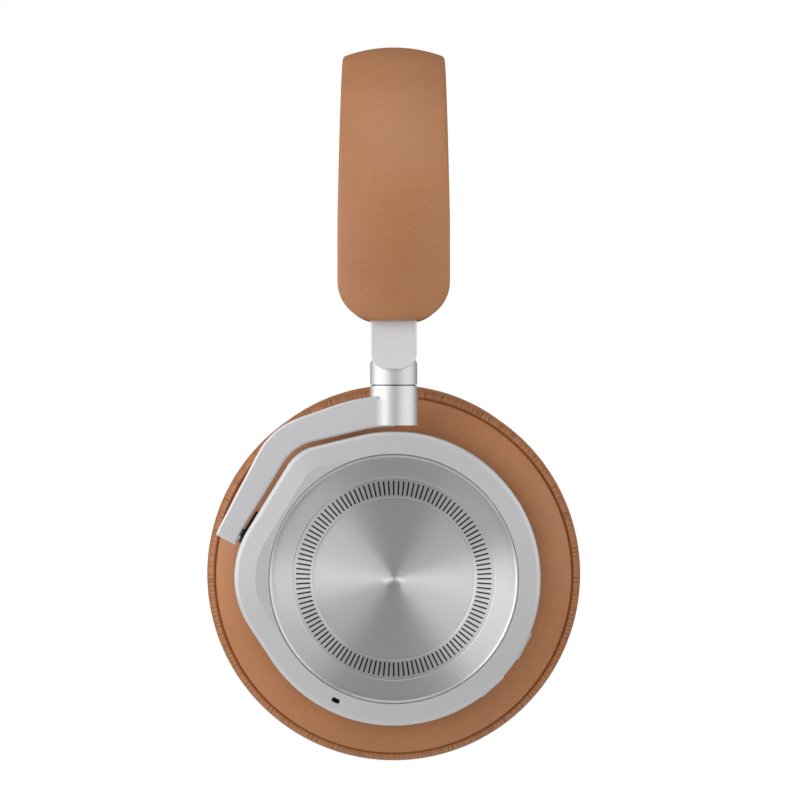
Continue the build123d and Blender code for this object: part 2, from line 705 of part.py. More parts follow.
# Leather-covered foam ring, pulled in at the seam near its widest circle.
back = BAFFLE_DEPTH + 1.35
with BuildPart() as ear_pad:
    with BuildSketch(turned):
        with BuildLine():
            Line((PAD_HOLE + 0.4, back), (35.4, back))
            ThreePointArc((35.4, back), (41.0, 20.3), SEAM)
            ThreePointArc(SEAM, (47.4, 25.6), (PAD_RADIUS, PAD_WIDEST_DEPTH))
            Spline(
                (PAD_RADIUS, PAD_WIDEST_DEPTH),
                (46.2, 38.6),
                (PAD_FLAT[1], PAD_DEPTH),
                tangents=((0, 1), (-1, 0)),
            )
            Line((PAD_FLAT[1], PAD_DEPTH), (PAD_FLAT[0], PAD_DEPTH))
            Spline(
                (PAD_FLAT[0], PAD_DEPTH),
                (29.8, 41.2),
                (PAD_HOLE, 32.0),
                tangents=((-1, 0), (0, -1)),
            )
            Line((PAD_HOLE, 32.0), (PAD_HOLE + 0.4, back))
        make_face()
    revolve(axis=cup_axis)

# Ring-shaped board around the magnet with its larger chips.
with BuildPart() as circuit_board:
    with BuildSketch(cup.offset(-8.8)):
        Circle(22.6)
        Circle(13.0, mode=Mode.SUBTRACT)
    extrude(amount=1.0)
    with BuildSketch(cup.offset(-7.8)):
        with Locations((17.5, 3), (-17.5, 2)):
            Rectangle(6, 6)
        with Locations((3, 18.0)):
            Rectangle(8, 5)
    extrude(amount=1.0)

# Flat cell beside the speaker, below it when worn.
with BuildPart() as battery:
    with Locations(cup * Location((0, 27.4, -12.6))):
        Box(23, 8.6, 6.0)
    fillet(battery.edges().filter_by(Axis.Y), 1.2)


def key(angle):
    """Pill-shaped push key with a retaining flange behind the wall."""
    inner_wall = HOUSING_RADIUS - HOUSING_WALL
    with BuildPart() as button:
        with BuildSketch(wall_plane(angle, inner_wall - 1.2, KEY_DEPTH)):
            SlotOverall(KEY_SIZE[0] + 1.4, KEY_SIZE[1] + 1.4)
        extrude(amount=0.8)
        with BuildSketch(wall_plane(angle, inner_wall - 1.2, KEY_DEPTH)):
            SlotOverall(*KEY_SIZE)
        extrude(amount=HOUSING_WALL + 1.2 + KEY_PROUD)
        out = wall_plane(angle, 0, KEY_DEPTH).z_dir
        fillet(button.faces().sort_by(Axis((0, 0, 0), out))[-1].edges(), 0.4)
    return button

# Small knob that slides along the wall, with a flange behind it.
inner_wall = HOUSING_RADIUS - HOUSING_WALL
with BuildPart() as power_slider:
    with BuildSketch(wall_plane(POWER_ANGLE, inner_wall - 1.6, KEY_DEPTH)):
        with Locations((-POWER_TRAVEL / 2, 0)):
            Rectangle(POWER_SLOT[0] - 1.0, POWER_SLOT[1] + 1.2)
    extrude(amount=0.8)
    with BuildSketch(wall_plane(POWER_ANGLE, inner_wall - 1.6, KEY_DEPTH)):
        with Locations((-POWER_TRAVEL / 2, 0)):
            SlotOverall(POWER_SLOT[0] - POWER_TRAVEL - 0.4, POWER_SLOT[1])
    extrude(amount=HOUSING_WALL + 1.6 + 0.5)
    out = wall_plane(POWER_ANGLE, 0, KEY_DEPTH).z_dir
    fillet(power_slider.faces().sort_by(Axis((0, 0, 0), out))[-1].edges(), 0.3)

# Barrel of the 3.5 mm socket, open at the bottom of the left cup.
mouth = wall_plane(SOCKET_ANGLE, HOUSING_RADIUS - 0.1, SOCKET_DEPTH)
with BuildPart() as audio_socket:
    with BuildSketch(mouth):
        Circle(JACK_RADIUS)
    extrude(amount=-(JACK_LENGTH + 1.0))
    with BuildSketch(mouth):
        Circle(JACK_BORE)
    extrude(amount=-JACK_LENGTH, mode=Mode.SUBTRACT)

# Oval charging socket with its contact tongue, open at the bottom of the right cup.
mouth = wall_plane(SOCKET_ANGLE, HOUSING_RADIUS - 0.1, SOCKET_DEPTH)
with BuildPart() as usb_socket:
    with BuildSketch(mouth):
        SlotOverall(USB_OPENING[0] + 1.6, USB_OPENING[1] + 1.6)
    extrude(amount=-(USB_LENGTH + 0.8))
    with BuildSketch(mouth):
        SlotOverall(*USB_OPENING)
    extrude(amount=-USB_LENGTH, mode=Mode.SUBTRACT)
    with BuildSketch(mouth.offset(-USB_LENGTH)):
        Rectangle(6.7, 0.7)
    extrude(amount=USB_LENGTH - 1.0)


# ---- Keys ---------------------------------------------------------------------------------------
left_keys = {name: key(angle) for name, angle in KEY_ANGLES_LEFT.items()}
right_keys = {name: key(angle) for name, angle in KEY_ANGLES_RIGHT.items()}


# ---- Writing the pieces -------------------------------------------------------------------------
def on_right(piece):
    """The piece mirrored on to the right side."""
    with BuildPart() as other:
        mirror(piece.part, about=Plane.YZ)
    return other

on_both_sides = {
    "band_frame": band_frame,
    "end_trim": end_trim,
    "detent_spring": detent_spring,
    "stem": stem,
    "slider_shoe": slider_shoe,
    "swivel_barrel": swivel_barrel,
    "swivel_washer": swivel_washer,
    "swivel_pin": swivel_pin,
    "yoke": yoke,
    "tilt_pin": tilt_pin,
    "cap_disc": cap_disc,
    "hinge_bush": hinge_bush,
    "mic_boot": mic_boot,
    "baffle": baffle,
    "housing_screws": housing_screws,
    "driver_frame": driver_frame,
    "driver_magnet": driver_magnet,
    "driver_diaphragm": driver_diaphragm,
    "ear_screen": ear_screen,
    "pad_ring": pad_ring,
    "ear_pad": ear_pad,
    "circuit_board": circuit_board,
}
on_right_only = {
    "right_housing": outer_housing(KEY_ANGLES_RIGHT.values(), False),
    "power_slider": power_slider,
    "usb_socket": usb_socket,
    "battery": battery,
    **right_keys,
}
pieces = {
    "headband_cover": headband_cover,
    "headband_cushion": headband_cushion,
    "spring_core": strip(*CORE, CORE_LAST_ANGLE),
    "headband_cable": strip(*FLEX_LINE, FLEX_LINE_LAST_ANGLE),
    "crown_bridge": crown_bridge,
    "left_housing": outer_housing(KEY_ANGLES_LEFT.values(), True),
    "audio_socket": audio_socket,
    **left_keys,
}
for name, piece in on_both_sides.items():
    pieces[f"left_{name}"] = piece
    pieces[f"right_{name}"] = on_right(piece)
for name, piece in on_right_only.items():
    pieces[name] = on_right(piece)

os.makedirs("parts", exist_ok=True)
for name, piece in pieces.items():
    piece.part.label = name
    export_step(piece.part, f"parts/{name}.step")
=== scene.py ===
"""Over-ear headphones with a leather-wrapped headband, sliding stems and one-sided aluminium yokes.

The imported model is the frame. The leather band, its knitted cushion and the ear pads are modelled
here, and every other piece keeps its own shape and gets its finish. Everything is in metres.
"""

import json
from math import asin, atan2, cos, hypot, pi, radians, sin, sqrt

import bpy
import numpy as np
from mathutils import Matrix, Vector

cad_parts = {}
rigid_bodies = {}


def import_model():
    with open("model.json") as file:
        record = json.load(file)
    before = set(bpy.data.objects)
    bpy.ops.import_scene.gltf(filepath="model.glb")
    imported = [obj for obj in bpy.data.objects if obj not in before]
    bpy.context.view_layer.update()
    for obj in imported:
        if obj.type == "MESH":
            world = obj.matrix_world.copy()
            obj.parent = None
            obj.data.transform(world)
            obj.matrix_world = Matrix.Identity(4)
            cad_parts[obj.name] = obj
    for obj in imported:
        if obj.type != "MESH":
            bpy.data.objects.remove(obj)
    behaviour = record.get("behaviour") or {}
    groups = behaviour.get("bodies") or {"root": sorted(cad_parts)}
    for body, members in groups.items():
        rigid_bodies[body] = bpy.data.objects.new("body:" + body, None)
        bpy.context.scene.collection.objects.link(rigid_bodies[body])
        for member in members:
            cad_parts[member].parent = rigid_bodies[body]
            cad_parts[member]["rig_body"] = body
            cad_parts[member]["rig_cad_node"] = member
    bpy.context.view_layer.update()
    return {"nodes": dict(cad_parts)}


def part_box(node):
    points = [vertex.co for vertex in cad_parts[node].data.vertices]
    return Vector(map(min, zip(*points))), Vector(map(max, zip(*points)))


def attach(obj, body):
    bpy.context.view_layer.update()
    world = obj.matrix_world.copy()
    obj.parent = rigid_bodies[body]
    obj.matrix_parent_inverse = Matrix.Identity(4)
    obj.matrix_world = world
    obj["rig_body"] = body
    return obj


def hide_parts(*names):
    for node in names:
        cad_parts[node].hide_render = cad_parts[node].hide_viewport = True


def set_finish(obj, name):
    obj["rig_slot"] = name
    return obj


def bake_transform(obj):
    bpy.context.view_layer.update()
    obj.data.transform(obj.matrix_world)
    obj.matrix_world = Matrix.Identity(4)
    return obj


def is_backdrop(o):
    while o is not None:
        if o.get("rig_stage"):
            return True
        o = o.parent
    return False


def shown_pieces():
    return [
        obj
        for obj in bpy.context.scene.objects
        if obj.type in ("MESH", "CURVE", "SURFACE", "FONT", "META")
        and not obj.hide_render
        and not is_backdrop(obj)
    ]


bl_info = {
    "name": "Over-ear headphones",
    "version": (1, 0, 0),
    "blender": (4, 5, 0),
    "location": "3D View > Sidebar > Headphones",
    "description": "Models the leather, fabric and finishes of a pair of over-ear headphones",
    "category": "Object",
}

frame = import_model()

MM = 0.001
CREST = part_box("headband_cover")[1].z
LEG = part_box("headband_cover")[1].x
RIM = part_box("left_housing")[1].x
SWIVEL = (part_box("left_swivel_pin")[0].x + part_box("left_swivel_pin")[1].x) / 2
CUP_HEIGHT = (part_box("left_cap_disc")[0].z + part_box("left_cap_disc")[1].z) / 2
# The camera looks very slightly down and to the side, so that it stands square to the cup.
CAMERA_HEIGHT, CAMERA_TILT, CAMERA_TURN = -0.0661, -0.00977, -0.00112
# Places and sizes of the soft boxes: the two side panels mirror each other.
PANEL_PLACE, PANEL_SIZE, PANEL_TARGET = (0.4, 0.86, 0.15), (1.9, 1.05), (0.0, 0.0, -0.08)


def linear(code):
    """Linear colour, with alpha, of an sRGB hex value such as "B3866A"."""
    parts = [int(code[i : i + 2], 16) / 255 for i in (0, 2, 4)]
    return (*[p / 12.92 if p <= 0.04045 else ((p + 0.055) / 1.055) ** 2.4 for p in parts], 1.0)


# ---- Sizes and colours that a user would change -----------------------------------------------


def length(name, description, default):
    return bpy.props.FloatProperty(
        name=name, description=description, default=default, unit="LENGTH", subtype="DISTANCE", precision=5
    )


def colour(name, description, code):
    return bpy.props.FloatVectorProperty(
        name=name, description=description, default=linear(code), size=4, min=0, max=1, subtype="COLOR"
    )


class BandSizes(bpy.types.PropertyGroup):
    """Sizes of the leather band and the cushion under it."""

    width: length("Width", "Width of the band across its legs", 0.0285)
    crown: length("Crown", "How far the middle of the leather stands above its edges", 0.0025)
    top_radius: length("Top radius", "Radius of the band over the head", 0.092)
    shoulder_radius: length("Shoulder radius", "Radius of the band where it turns down", 0.042)
    shoulder_start: bpy.props.FloatProperty(
        name="Shoulder start",
        description="Angle from the crest where the shoulder starts",
        default=radians(46),
        subtype="ANGLE",
    )
    end: length("End", "Height of the band's lower end", -0.060)
    end_rounding: length("End rounding", "Radius of the end's corners, seen from the side", 0.010)
    edge: length("Edge", "Rounding of the leather along the band's edges", 0.0012)
    leather: length("Leather", "Thickness of the leather with its backing", 0.0012)
    side: length("Side", "How far the leather reaches down the band's sides", 0.0084)
    underside: length("Underside", "Depth of the cushion's lowest line below the crest line", 0.013)
    taper: length("Taper", "How far each side has drawn in at the crest", 0.0008)
    taper_start: length("Taper start", "Height where the sides start to draw in", -0.034)
    swell: length("Swell", "Most that the cushion's fabric swells", 0.0005)


class PadSizes(bpy.types.PropertyGroup):
    """Sizes of the ear pads."""

    radius: length("Radius", "Radius of the pad at its widest circle", 0.048)
    seam: length("Seam", "Radius of the sewn seam", 0.0458)
    swell: length("Swell", "Most that the pad's leather swells", 0.0006)
    pleat: length("Pleat", "Depth of the pleats in the gathered leather", 0.00026)
    spokes: bpy.props.IntProperty(
        name="Spokes", description="Number of rows of faces round the pad", default=400, min=60, max=480
    )


class Finishes(bpy.types.PropertyGroup):
    """Colours of the visible materials."""

    band_leather: colour("Band leather", "Tan leather of the band", "B67D55")
    pad_leather: colour("Pad leather", "Tan leather of the ear pads", "B87A4F")
    knit: colour("Knit", "Brown knitted fabric of the cushion", "6B4B38")
    aluminium: colour("Aluminium", "Clear-anodised aluminium", "E6E6E8")
    shell: colour("Shell", "Silver paint of the housings", "CDCDCE")
    black: colour("Black", "Black plastic", "17171A")


class StageSizes(bpy.types.PropertyGroup):
    """Camera and light."""

    distance: length("Distance", "Camera's distance from the middle of the headphones", 1.5)
    lens: bpy.props.FloatProperty(
        name="Lens", description="Focal length in millimetres", default=253.4, subtype="NONE"
    )
    key: bpy.props.FloatProperty(
        name="Key", description="Power of the front light", default=14.2, unit="POWER"
    )
    fill: bpy.props.FloatProperty(
        name="Fill", description="Power of the rear light", default=8.8, unit="POWER"
    )
    top: bpy.props.FloatProperty(name="Top", description="Power of the top light", default=6.0, unit="POWER")
    room: bpy.props.FloatProperty(name="Room", description="Brightness of the room around", default=0.06)


GROUPS = {
    "headphone_band": BandSizes,
    "headphone_pads": PadSizes,
    "headphone_finishes": Finishes,
    "headphone_stage": StageSizes,
}


# ---- Working steps -----------------------------------------------------------------------------


def pick(piece):
    """Selects one object alone and makes it the active one."""
    bpy.ops.object.select_all(action="DESELECT")
    piece.select_set(True)
    bpy.context.view_layer.objects.active = piece


def trace_line(name, points):
    """Draws a line through these points by extruding a vertex, and leaves edit mode on."""
    bpy.ops.object.select_all(action="DESELECT")
    bpy.ops.mesh.primitive_plane_add(size=0.001)
    piece = bpy.context.object
    piece.name = piece.data.name = name
    bpy.ops.object.mode_set(mode="EDIT")
    bpy.ops.mesh.merge(type="CENTER")
    bpy.ops.transform.translate(value=points[0])
    for here, there in zip(points, points[1:]):
        step = [b - a for a, b in zip(here, there)]
        bpy.ops.mesh.extrude_region_move(TRANSFORM_OT_translate={"value": step})
    bpy.ops.mesh.select_all(action="SELECT")
    return piece


def close_up(piece):
    """Merges the doubles of the mesh in edit mode and turns its faces outwards."""
    bpy.ops.mesh.select_all(action="SELECT")
    bpy.ops.mesh.remove_doubles(threshold=0.000005)
    bpy.ops.mesh.normals_make_consistent(inside=False)
    bpy.ops.object.mode_set(mode="OBJECT")
    return piece


def apply_modifier(piece, kind, **settings):
    """Adds one modifier with its settings and applies it."""
    pick(piece)
    bpy.ops.object.modifier_add(type=kind)
    added = piece.modifiers[-1]
    for name, value in settings.items():
        setattr(added, name, value)
    bpy.ops.object.modifier_apply(modifier=added.name)


def mirrored(piece, name):
    """A copy of the piece with its own mesh, on the other side of the head."""
    pick(piece)
    bpy.ops.object.duplicate()
    other = bpy.context.object
    other.name = other.data.name = name
    bpy.ops.object.mode_set(mode="EDIT")
    bpy.ops.mesh.select_all(action="SELECT")
    bpy.ops.transform.resize(value=(-1, 1, 1), center_override=(0, 0, 0))
    bpy.ops.mesh.flip_normals()
    bpy.ops.object.mode_set(mode="OBJECT")
    return other


def smooth(piece, angle=40):
    """Shades the piece smooth, with sharp edges where faces meet at more than this many degrees."""
    pick(piece)
    bpy.ops.object.shade_smooth_by_angle(angle=radians(angle))


def dress(piece, finish):
    """Gives the whole piece one material."""
    piece.data.materials.clear()
    piece.data.materials.append(finish)


def points_of(piece):
    """Positions of the mesh's points as an array."""
    flat = np.zeros(len(piece.data.vertices) * 3)
    piece.data.vertices.foreach_get("co", flat)
    return flat.reshape(-1, 3)


def swell(piece, glued, most):
    """Fills a sewn cover by a cloth simulation with air pressure inside, the glued points held.

    Cloth hardly moves at this size, so it is simulated thirty times larger and brought back. No
    point moves further than `most`.
    """
    grow = 30.0
    rest = points_of(piece)
    pick(piece)
    held = piece.vertex_groups.new(name="glued")
    held.add([i for i, at in enumerate(rest) if glued(*at)], 1.0, "REPLACE")
    for factor in (grow, 1 / grow):
        bpy.ops.object.mode_set(mode="EDIT")
        bpy.ops.mesh.select_all(action="SELECT")
        bpy.ops.transform.resize(value=(factor,) * 3, center_override=(0, 0, 0))
        bpy.ops.object.mode_set(mode="OBJECT")
        if factor != grow:
            break
        bpy.ops.object.modifier_add(type="CLOTH")
        cloth = piece.modifiers[-1]
        cloth.settings.tension_stiffness = cloth.settings.compression_stiffness = 5
        cloth.settings.use_pressure = True
        cloth.settings.uniform_pressure_force = 20
        cloth.settings.vertex_group_mass = "glued"
        cloth.settings.effector_weights.gravity = 0
        for number in range(1, 21):
            bpy.context.scene.frame_set(number)
        bpy.ops.object.modifier_apply(modifier=cloth.name)
        bpy.context.scene.frame_set(1)
    piece.vertex_groups.clear()
    moved = points_of(piece) - rest
    far = np.linalg.norm(moved, axis=1, keepdims=True)
    kept = rest + moved * np.minimum(1.0, most / np.maximum(far, 1e-9))
    piece.data.vertices.foreach_set("co", kept.ravel())
    piece.data.update()


def gather(piece, rows, seam, deep):
    """Presses the small pleats of gathered leather into the pad outside its seam.

    Every second or third row of points round the pad becomes a valley, up to `deep`, with its own
    depth and length. The share of the depth is kept in the mesh as "pleat", for painted shade in the
    leather's valleys.
    """
    rest = points_of(piece)
    facing = np.zeros(rest.size)
    piece.data.vertices.foreach_get("normal", facing)
    facing = facing.reshape(-1, 3)
    dice = np.random.RandomState(7)
    depths = np.zeros(rows)
    valleys = np.cumsum(dice.randint(2, 4, rows))
    valleys = valleys[valleys < rows - 1]
    depths[valleys] = dice.uniform(0.55, 1.0, len(valleys))
    ends = dice.uniform(27.0, 34.0, rows) * MM
    turn = np.arctan2(rest[:, 1], rest[:, 2] - CUP_HEIGHT) / (2 * pi)
    row = np.rint(turn * rows).astype(int) % rows
    out = np.hypot(rest[:, 1], rest[:, 2] - CUP_HEIGHT)
    depth = RIM - rest[:, 0]
    started = np.clip((out - seam - 0.1 * MM) / (0.5 * MM), 0, 1)
    fading = np.clip((ends[row] - depth) / (5 * MM), 0, 1)
    share = depths[row] * started * fading * (depth > 24 * MM)
    piece.data.vertices.foreach_set("co", (rest - facing * (share * deep)[:, None]).ravel())
    piece.data.attributes.new("pleat", "FLOAT", "POINT").data.foreach_set("value", share)
    piece.data.update()


# ---- Finishes ------------------------------------------------------------------------------------


def fill_in(tree, node, inputs):
    """Sets a node's inputs: a socket is linked to it, and anything else is its value."""
    for name, value in inputs.items():
        if isinstance(value, bpy.types.NodeSocket):
            tree.links.new(value, node.inputs[name])
        else:
            node.inputs[name].default_value = value


def add_node(tree, kind, inputs=None, **settings):
    """Adds one node, with its settings, its input values and the links that come into it."""
    added = tree.nodes.new(kind)
    for name, value in settings.items():
        setattr(added, name, value)
    fill_in(tree, added, inputs or {})
    return added


def new_finish(name):
    """A new material, as its node tree and its surface shader."""
    finish = bpy.data.materials.new(name)
    finish.use_nodes = True
    tree = finish.node_tree
    tree.nodes.clear()
    surface = add_node(tree, "ShaderNodeBsdfPrincipled")
    add_node(tree, "ShaderNodeOutputMaterial", {"Surface": surface.outputs["BSDF"]})
    return finish, tree, surface


def shaded(tone, share):
    """The colour made darker or lighter by this share, with its alpha kept."""
    return (*[min(1.0, part * share) for part in tone[:3]], 1.0)


def full_grain_leather(name, tone, pleated):
    """Tan full-grain leather, drum-dyed and finished with a thin clear coat."""
    # The dye takes unevenly over a few centimetres. The pores make a pebble about 0.9 mm across, with
    # fine creases between them, and the thin coat leaves a broad soft shine.
    finish, tree, surface = new_finish(name)
    place = add_node(tree, "ShaderNodeTexCoord").outputs["Object"]
    cloud = add_node(tree, "ShaderNodeTexNoise", {"Vector": place, "Scale": 55.0, "Detail": 3.0})
    pebble = add_node(
        tree,
        "ShaderNodeTexVoronoi",
        {"Vector": place, "Scale": 1150.0, "Randomness": 1.0},
        feature="DISTANCE_TO_EDGE",
    )
    crease = add_node(
        tree,
        "ShaderNodeMapRange",
        {"Value": pebble.outputs["Distance"], "From Min": 0.0, "From Max": 0.22},
        interpolation_type="SMOOTHSTEP",
    )
    pores = add_node(tree, "ShaderNodeTexNoise", {"Vector": place, "Scale": 3000.0, "Detail": 2.0})
    # Colour sockets of the Mix node share their names with its other types, so they go by number.
    dye = add_node(
        tree,
        "ShaderNodeMix",
        {0: cloud.outputs["Fac"], 6: shaded(tone, 0.9), 7: shaded(tone, 1.1)},
        data_type="RGBA",
    )
    # The creases between the pebbles are painted about a tenth darker: painted shade.
    shade = add_node(
        tree, "ShaderNodeMapRange", {"Value": crease.outputs["Result"], "To Min": 0.9, "To Max": 1.0}
    )
    dye_with_painted_crease_shade = add_node(
        tree,
        "ShaderNodeMix",
        {0: 1.0, 6: dye.outputs[2], 7: shade.outputs["Result"]},
        data_type="RGBA",
        blend_type="MULTIPLY",
    )
    grain = add_node(
        tree, "ShaderNodeMath", {0: crease.outputs["Result"], 1: pores.outputs["Fac"]}, operation="MULTIPLY"
    )
    relief = add_node(
        tree, "ShaderNodeBump", {"Height": grain.outputs["Value"], "Strength": 0.35, "Distance": 0.00012}
    )
    base = dye_with_painted_crease_shade.outputs[2]
    if pleated:
        # The leather is gathered at the seam, and the valleys between its pleats get painted shade, darker
        # with their depth.
        valley = add_node(tree, "ShaderNodeAttribute", attribute_name="pleat", attribute_type="GEOMETRY")
        darker = add_node(
            tree, "ShaderNodeMix", {0: valley.outputs["Fac"], 6: base, 7: shaded(tone, 0.5)}, data_type="RGBA"
        )
        base = darker.outputs[2]
    fill_in(
        tree,
        surface,
        {
            "Base Color": base,
            "Normal": relief.outputs["Normal"],
        },
    )
    rough = add_node(
        tree, "ShaderNodeMapRange", {"Value": pores.outputs["Fac"], "To Min": 0.42, "To Max": 0.6}
    )
    fill_in(
        tree,
        surface,
        {
            "Roughness": rough.outputs["Result"],
            "Specular IOR Level": 0.4,
            "Coat Weight": 0.05,
            "Coat Roughness": 0.35,
        },
    )
    return finish


def jersey_knit(name, tone):
    """Brown polyester yarn, weft-knitted to a jersey over foam."""
    # Rows of small V-shaped loops 1.3 mm apart, with a soft halo of fibre. The colour follows the loops'
    # height as painted shade and light: darker between the wales and low in the loops, lighter on the loop
    # tops.
    finish, tree, surface = new_finish(name)
    unrolled = add_node(tree, "ShaderNodeUVMap", uv_map="unrolled").outputs["UV"]
    parts = add_node(tree, "ShaderNodeSeparateXYZ", {"Vector": unrolled})
    wale = add_node(tree, "ShaderNodeMath", {0: parts.outputs["Y"], 1: 1 / (1.3 * MM)}, operation="MULTIPLY")
    within = add_node(tree, "ShaderNodeMath", {0: wale.outputs["Value"]}, operation="FRACT")
    aside = add_node(tree, "ShaderNodeMath", {0: within.outputs["Value"], 1: 0.5}, operation="SUBTRACT")
    leg = add_node(tree, "ShaderNodeMath", {0: aside.outputs["Value"]}, operation="ABSOLUTE")
    row = add_node(tree, "ShaderNodeMath", {0: parts.outputs["X"], 1: 1 / (1.0 * MM)}, operation="MULTIPLY")
    slanted = add_node(
        tree,
        "ShaderNodeMath",
        {0: leg.outputs["Value"], 1: 1.3, 2: row.outputs["Value"]},
        operation="MULTIPLY_ADD",
    )
    turn = add_node(tree, "ShaderNodeMath", {0: slanted.outputs["Value"], 1: 2 * pi}, operation="MULTIPLY")
    loops = add_node(tree, "ShaderNodeMath", {0: turn.outputs["Value"]}, operation="SINE")
    rounded = add_node(
        tree,
        "ShaderNodeMapRange",
        {"Value": leg.outputs["Value"], "From Min": 0.5, "From Max": 0.28},
        interpolation_type="SMOOTHSTEP",
    )
    height = add_node(
        tree, "ShaderNodeMath", {0: loops.outputs["Value"], 1: 0.35, 2: rounded.outputs["Result"]},
        operation="MULTIPLY_ADD",
    )
    fuzz = add_node(tree, "ShaderNodeTexNoise", {"Vector": unrolled, "Scale": 5000.0, "Detail": 2.0})
    depth = add_node(
        tree, "ShaderNodeMapRange", {"Value": height.outputs["Value"], "From Min": -0.3, "From Max": 1.2}
    )
    # Painted shade and light: the colour is darker where the loops are low and lighter where they are high.
    mixed = add_node(
        tree,
        "ShaderNodeMix",
        {0: depth.outputs["Result"], 6: shaded(tone, 0.42), 7: shaded(tone, 1.25)},
        data_type="RGBA",
    )
    raised = add_node(
        tree, "ShaderNodeMath", {0: fuzz.outputs["Fac"], 1: 0.3, 2: height.outputs["Value"]},
        operation="MULTIPLY_ADD",
    )
    relief = add_node(
        tree, "ShaderNodeBump", {"Height": raised.outputs["Value"], "Strength": 0.8, "Distance": 0.0004}
    )
    fill_in(
        tree,
        surface,
        {
            "Base Color": mixed.outputs[2],
            "Normal": relief.outputs["Normal"],
            "Roughness": 0.85,
            "Sheen Weight": 0.35,
            "Sheen Roughness": 0.5,
            "Sheen Tint": shaded(tone, 2.0),
        },
    )
    return finish


def blasted_aluminium(name, tone, rough, barrel):
    """Aluminium, bead-blasted and clear-anodised."""
    # The blasting leaves an even satin grain with no direction in its shine. It is drawn about 0.4 mm
    # across, coarser than the real one, so that it shows.
    finish, tree, surface = new_finish(name)
    place = add_node(tree, "ShaderNodeTexCoord").outputs["Object"]
    grit = add_node(
        tree, "ShaderNodeTexNoise", {"Vector": place, "Scale": 2600.0, "Detail": 3.0, "Roughness": 0.7}
    )
    cloud = add_node(tree, "ShaderNodeTexNoise", {"Vector": place, "Scale": 120.0, "Detail": 2.0})
    level = add_node(
        tree,
        "ShaderNodeMapRange",
        {"Value": cloud.outputs["Fac"], "To Min": rough - 0.04, "To Max": rough + 0.04},
    )
    # The knuckle's barrel is turned before it is lightly blasted, so its shine is tighter.
    parts = add_node(tree, "ShaderNodeSeparateXYZ", {"Vector": place})
    inward = add_node(tree, "ShaderNodeMath", {0: parts.outputs["X"]}, operation="ABSOLUTE")
    aside = add_node(tree, "ShaderNodeMath", {0: inward.outputs["Value"], 1: SWIVEL}, operation="SUBTRACT")
    spread = add_node(tree, "ShaderNodeCombineXYZ", {"X": aside.outputs["Value"], "Y": parts.outputs["Y"]})
    out = add_node(tree, "ShaderNodeVectorMath", {0: spread.outputs["Vector"]}, operation="LENGTH")
    eased = add_node(
        tree,
        "ShaderNodeMapRange",
        {"Value": out.outputs["Value"], "From Min": 6.1 * MM, "From Max": 8.5 * MM},
        interpolation_type="SMOOTHSTEP",
    )
    share = add_node(
        tree,
        "ShaderNodeMapRange",
        {"Value": eased.outputs["Result"], "To Min": barrel / rough, "To Max": 1.0},
    )
    polish = add_node(
        tree,
        "ShaderNodeMath",
        {0: level.outputs["Result"], 1: share.outputs["Result"]},
        operation="MULTIPLY",
    )
    relief = add_node(
        tree, "ShaderNodeBump", {"Height": grit.outputs["Fac"], "Strength": 0.4, "Distance": 0.00009}
    )
    mixed = add_node(
        tree,
        "ShaderNodeMix",
        {0: grit.outputs["Fac"], 6: shaded(tone, 0.78), 7: shaded(tone, 1.16)},
        data_type="RGBA",
    )
    fill_in(
        tree,
        surface,
        {
            "Base Color": mixed.outputs[2],
            "Roughness": polish.outputs["Value"],
            "Normal": relief.outputs["Normal"],
            "Metallic": 1.0,
        },
    )
    return finish


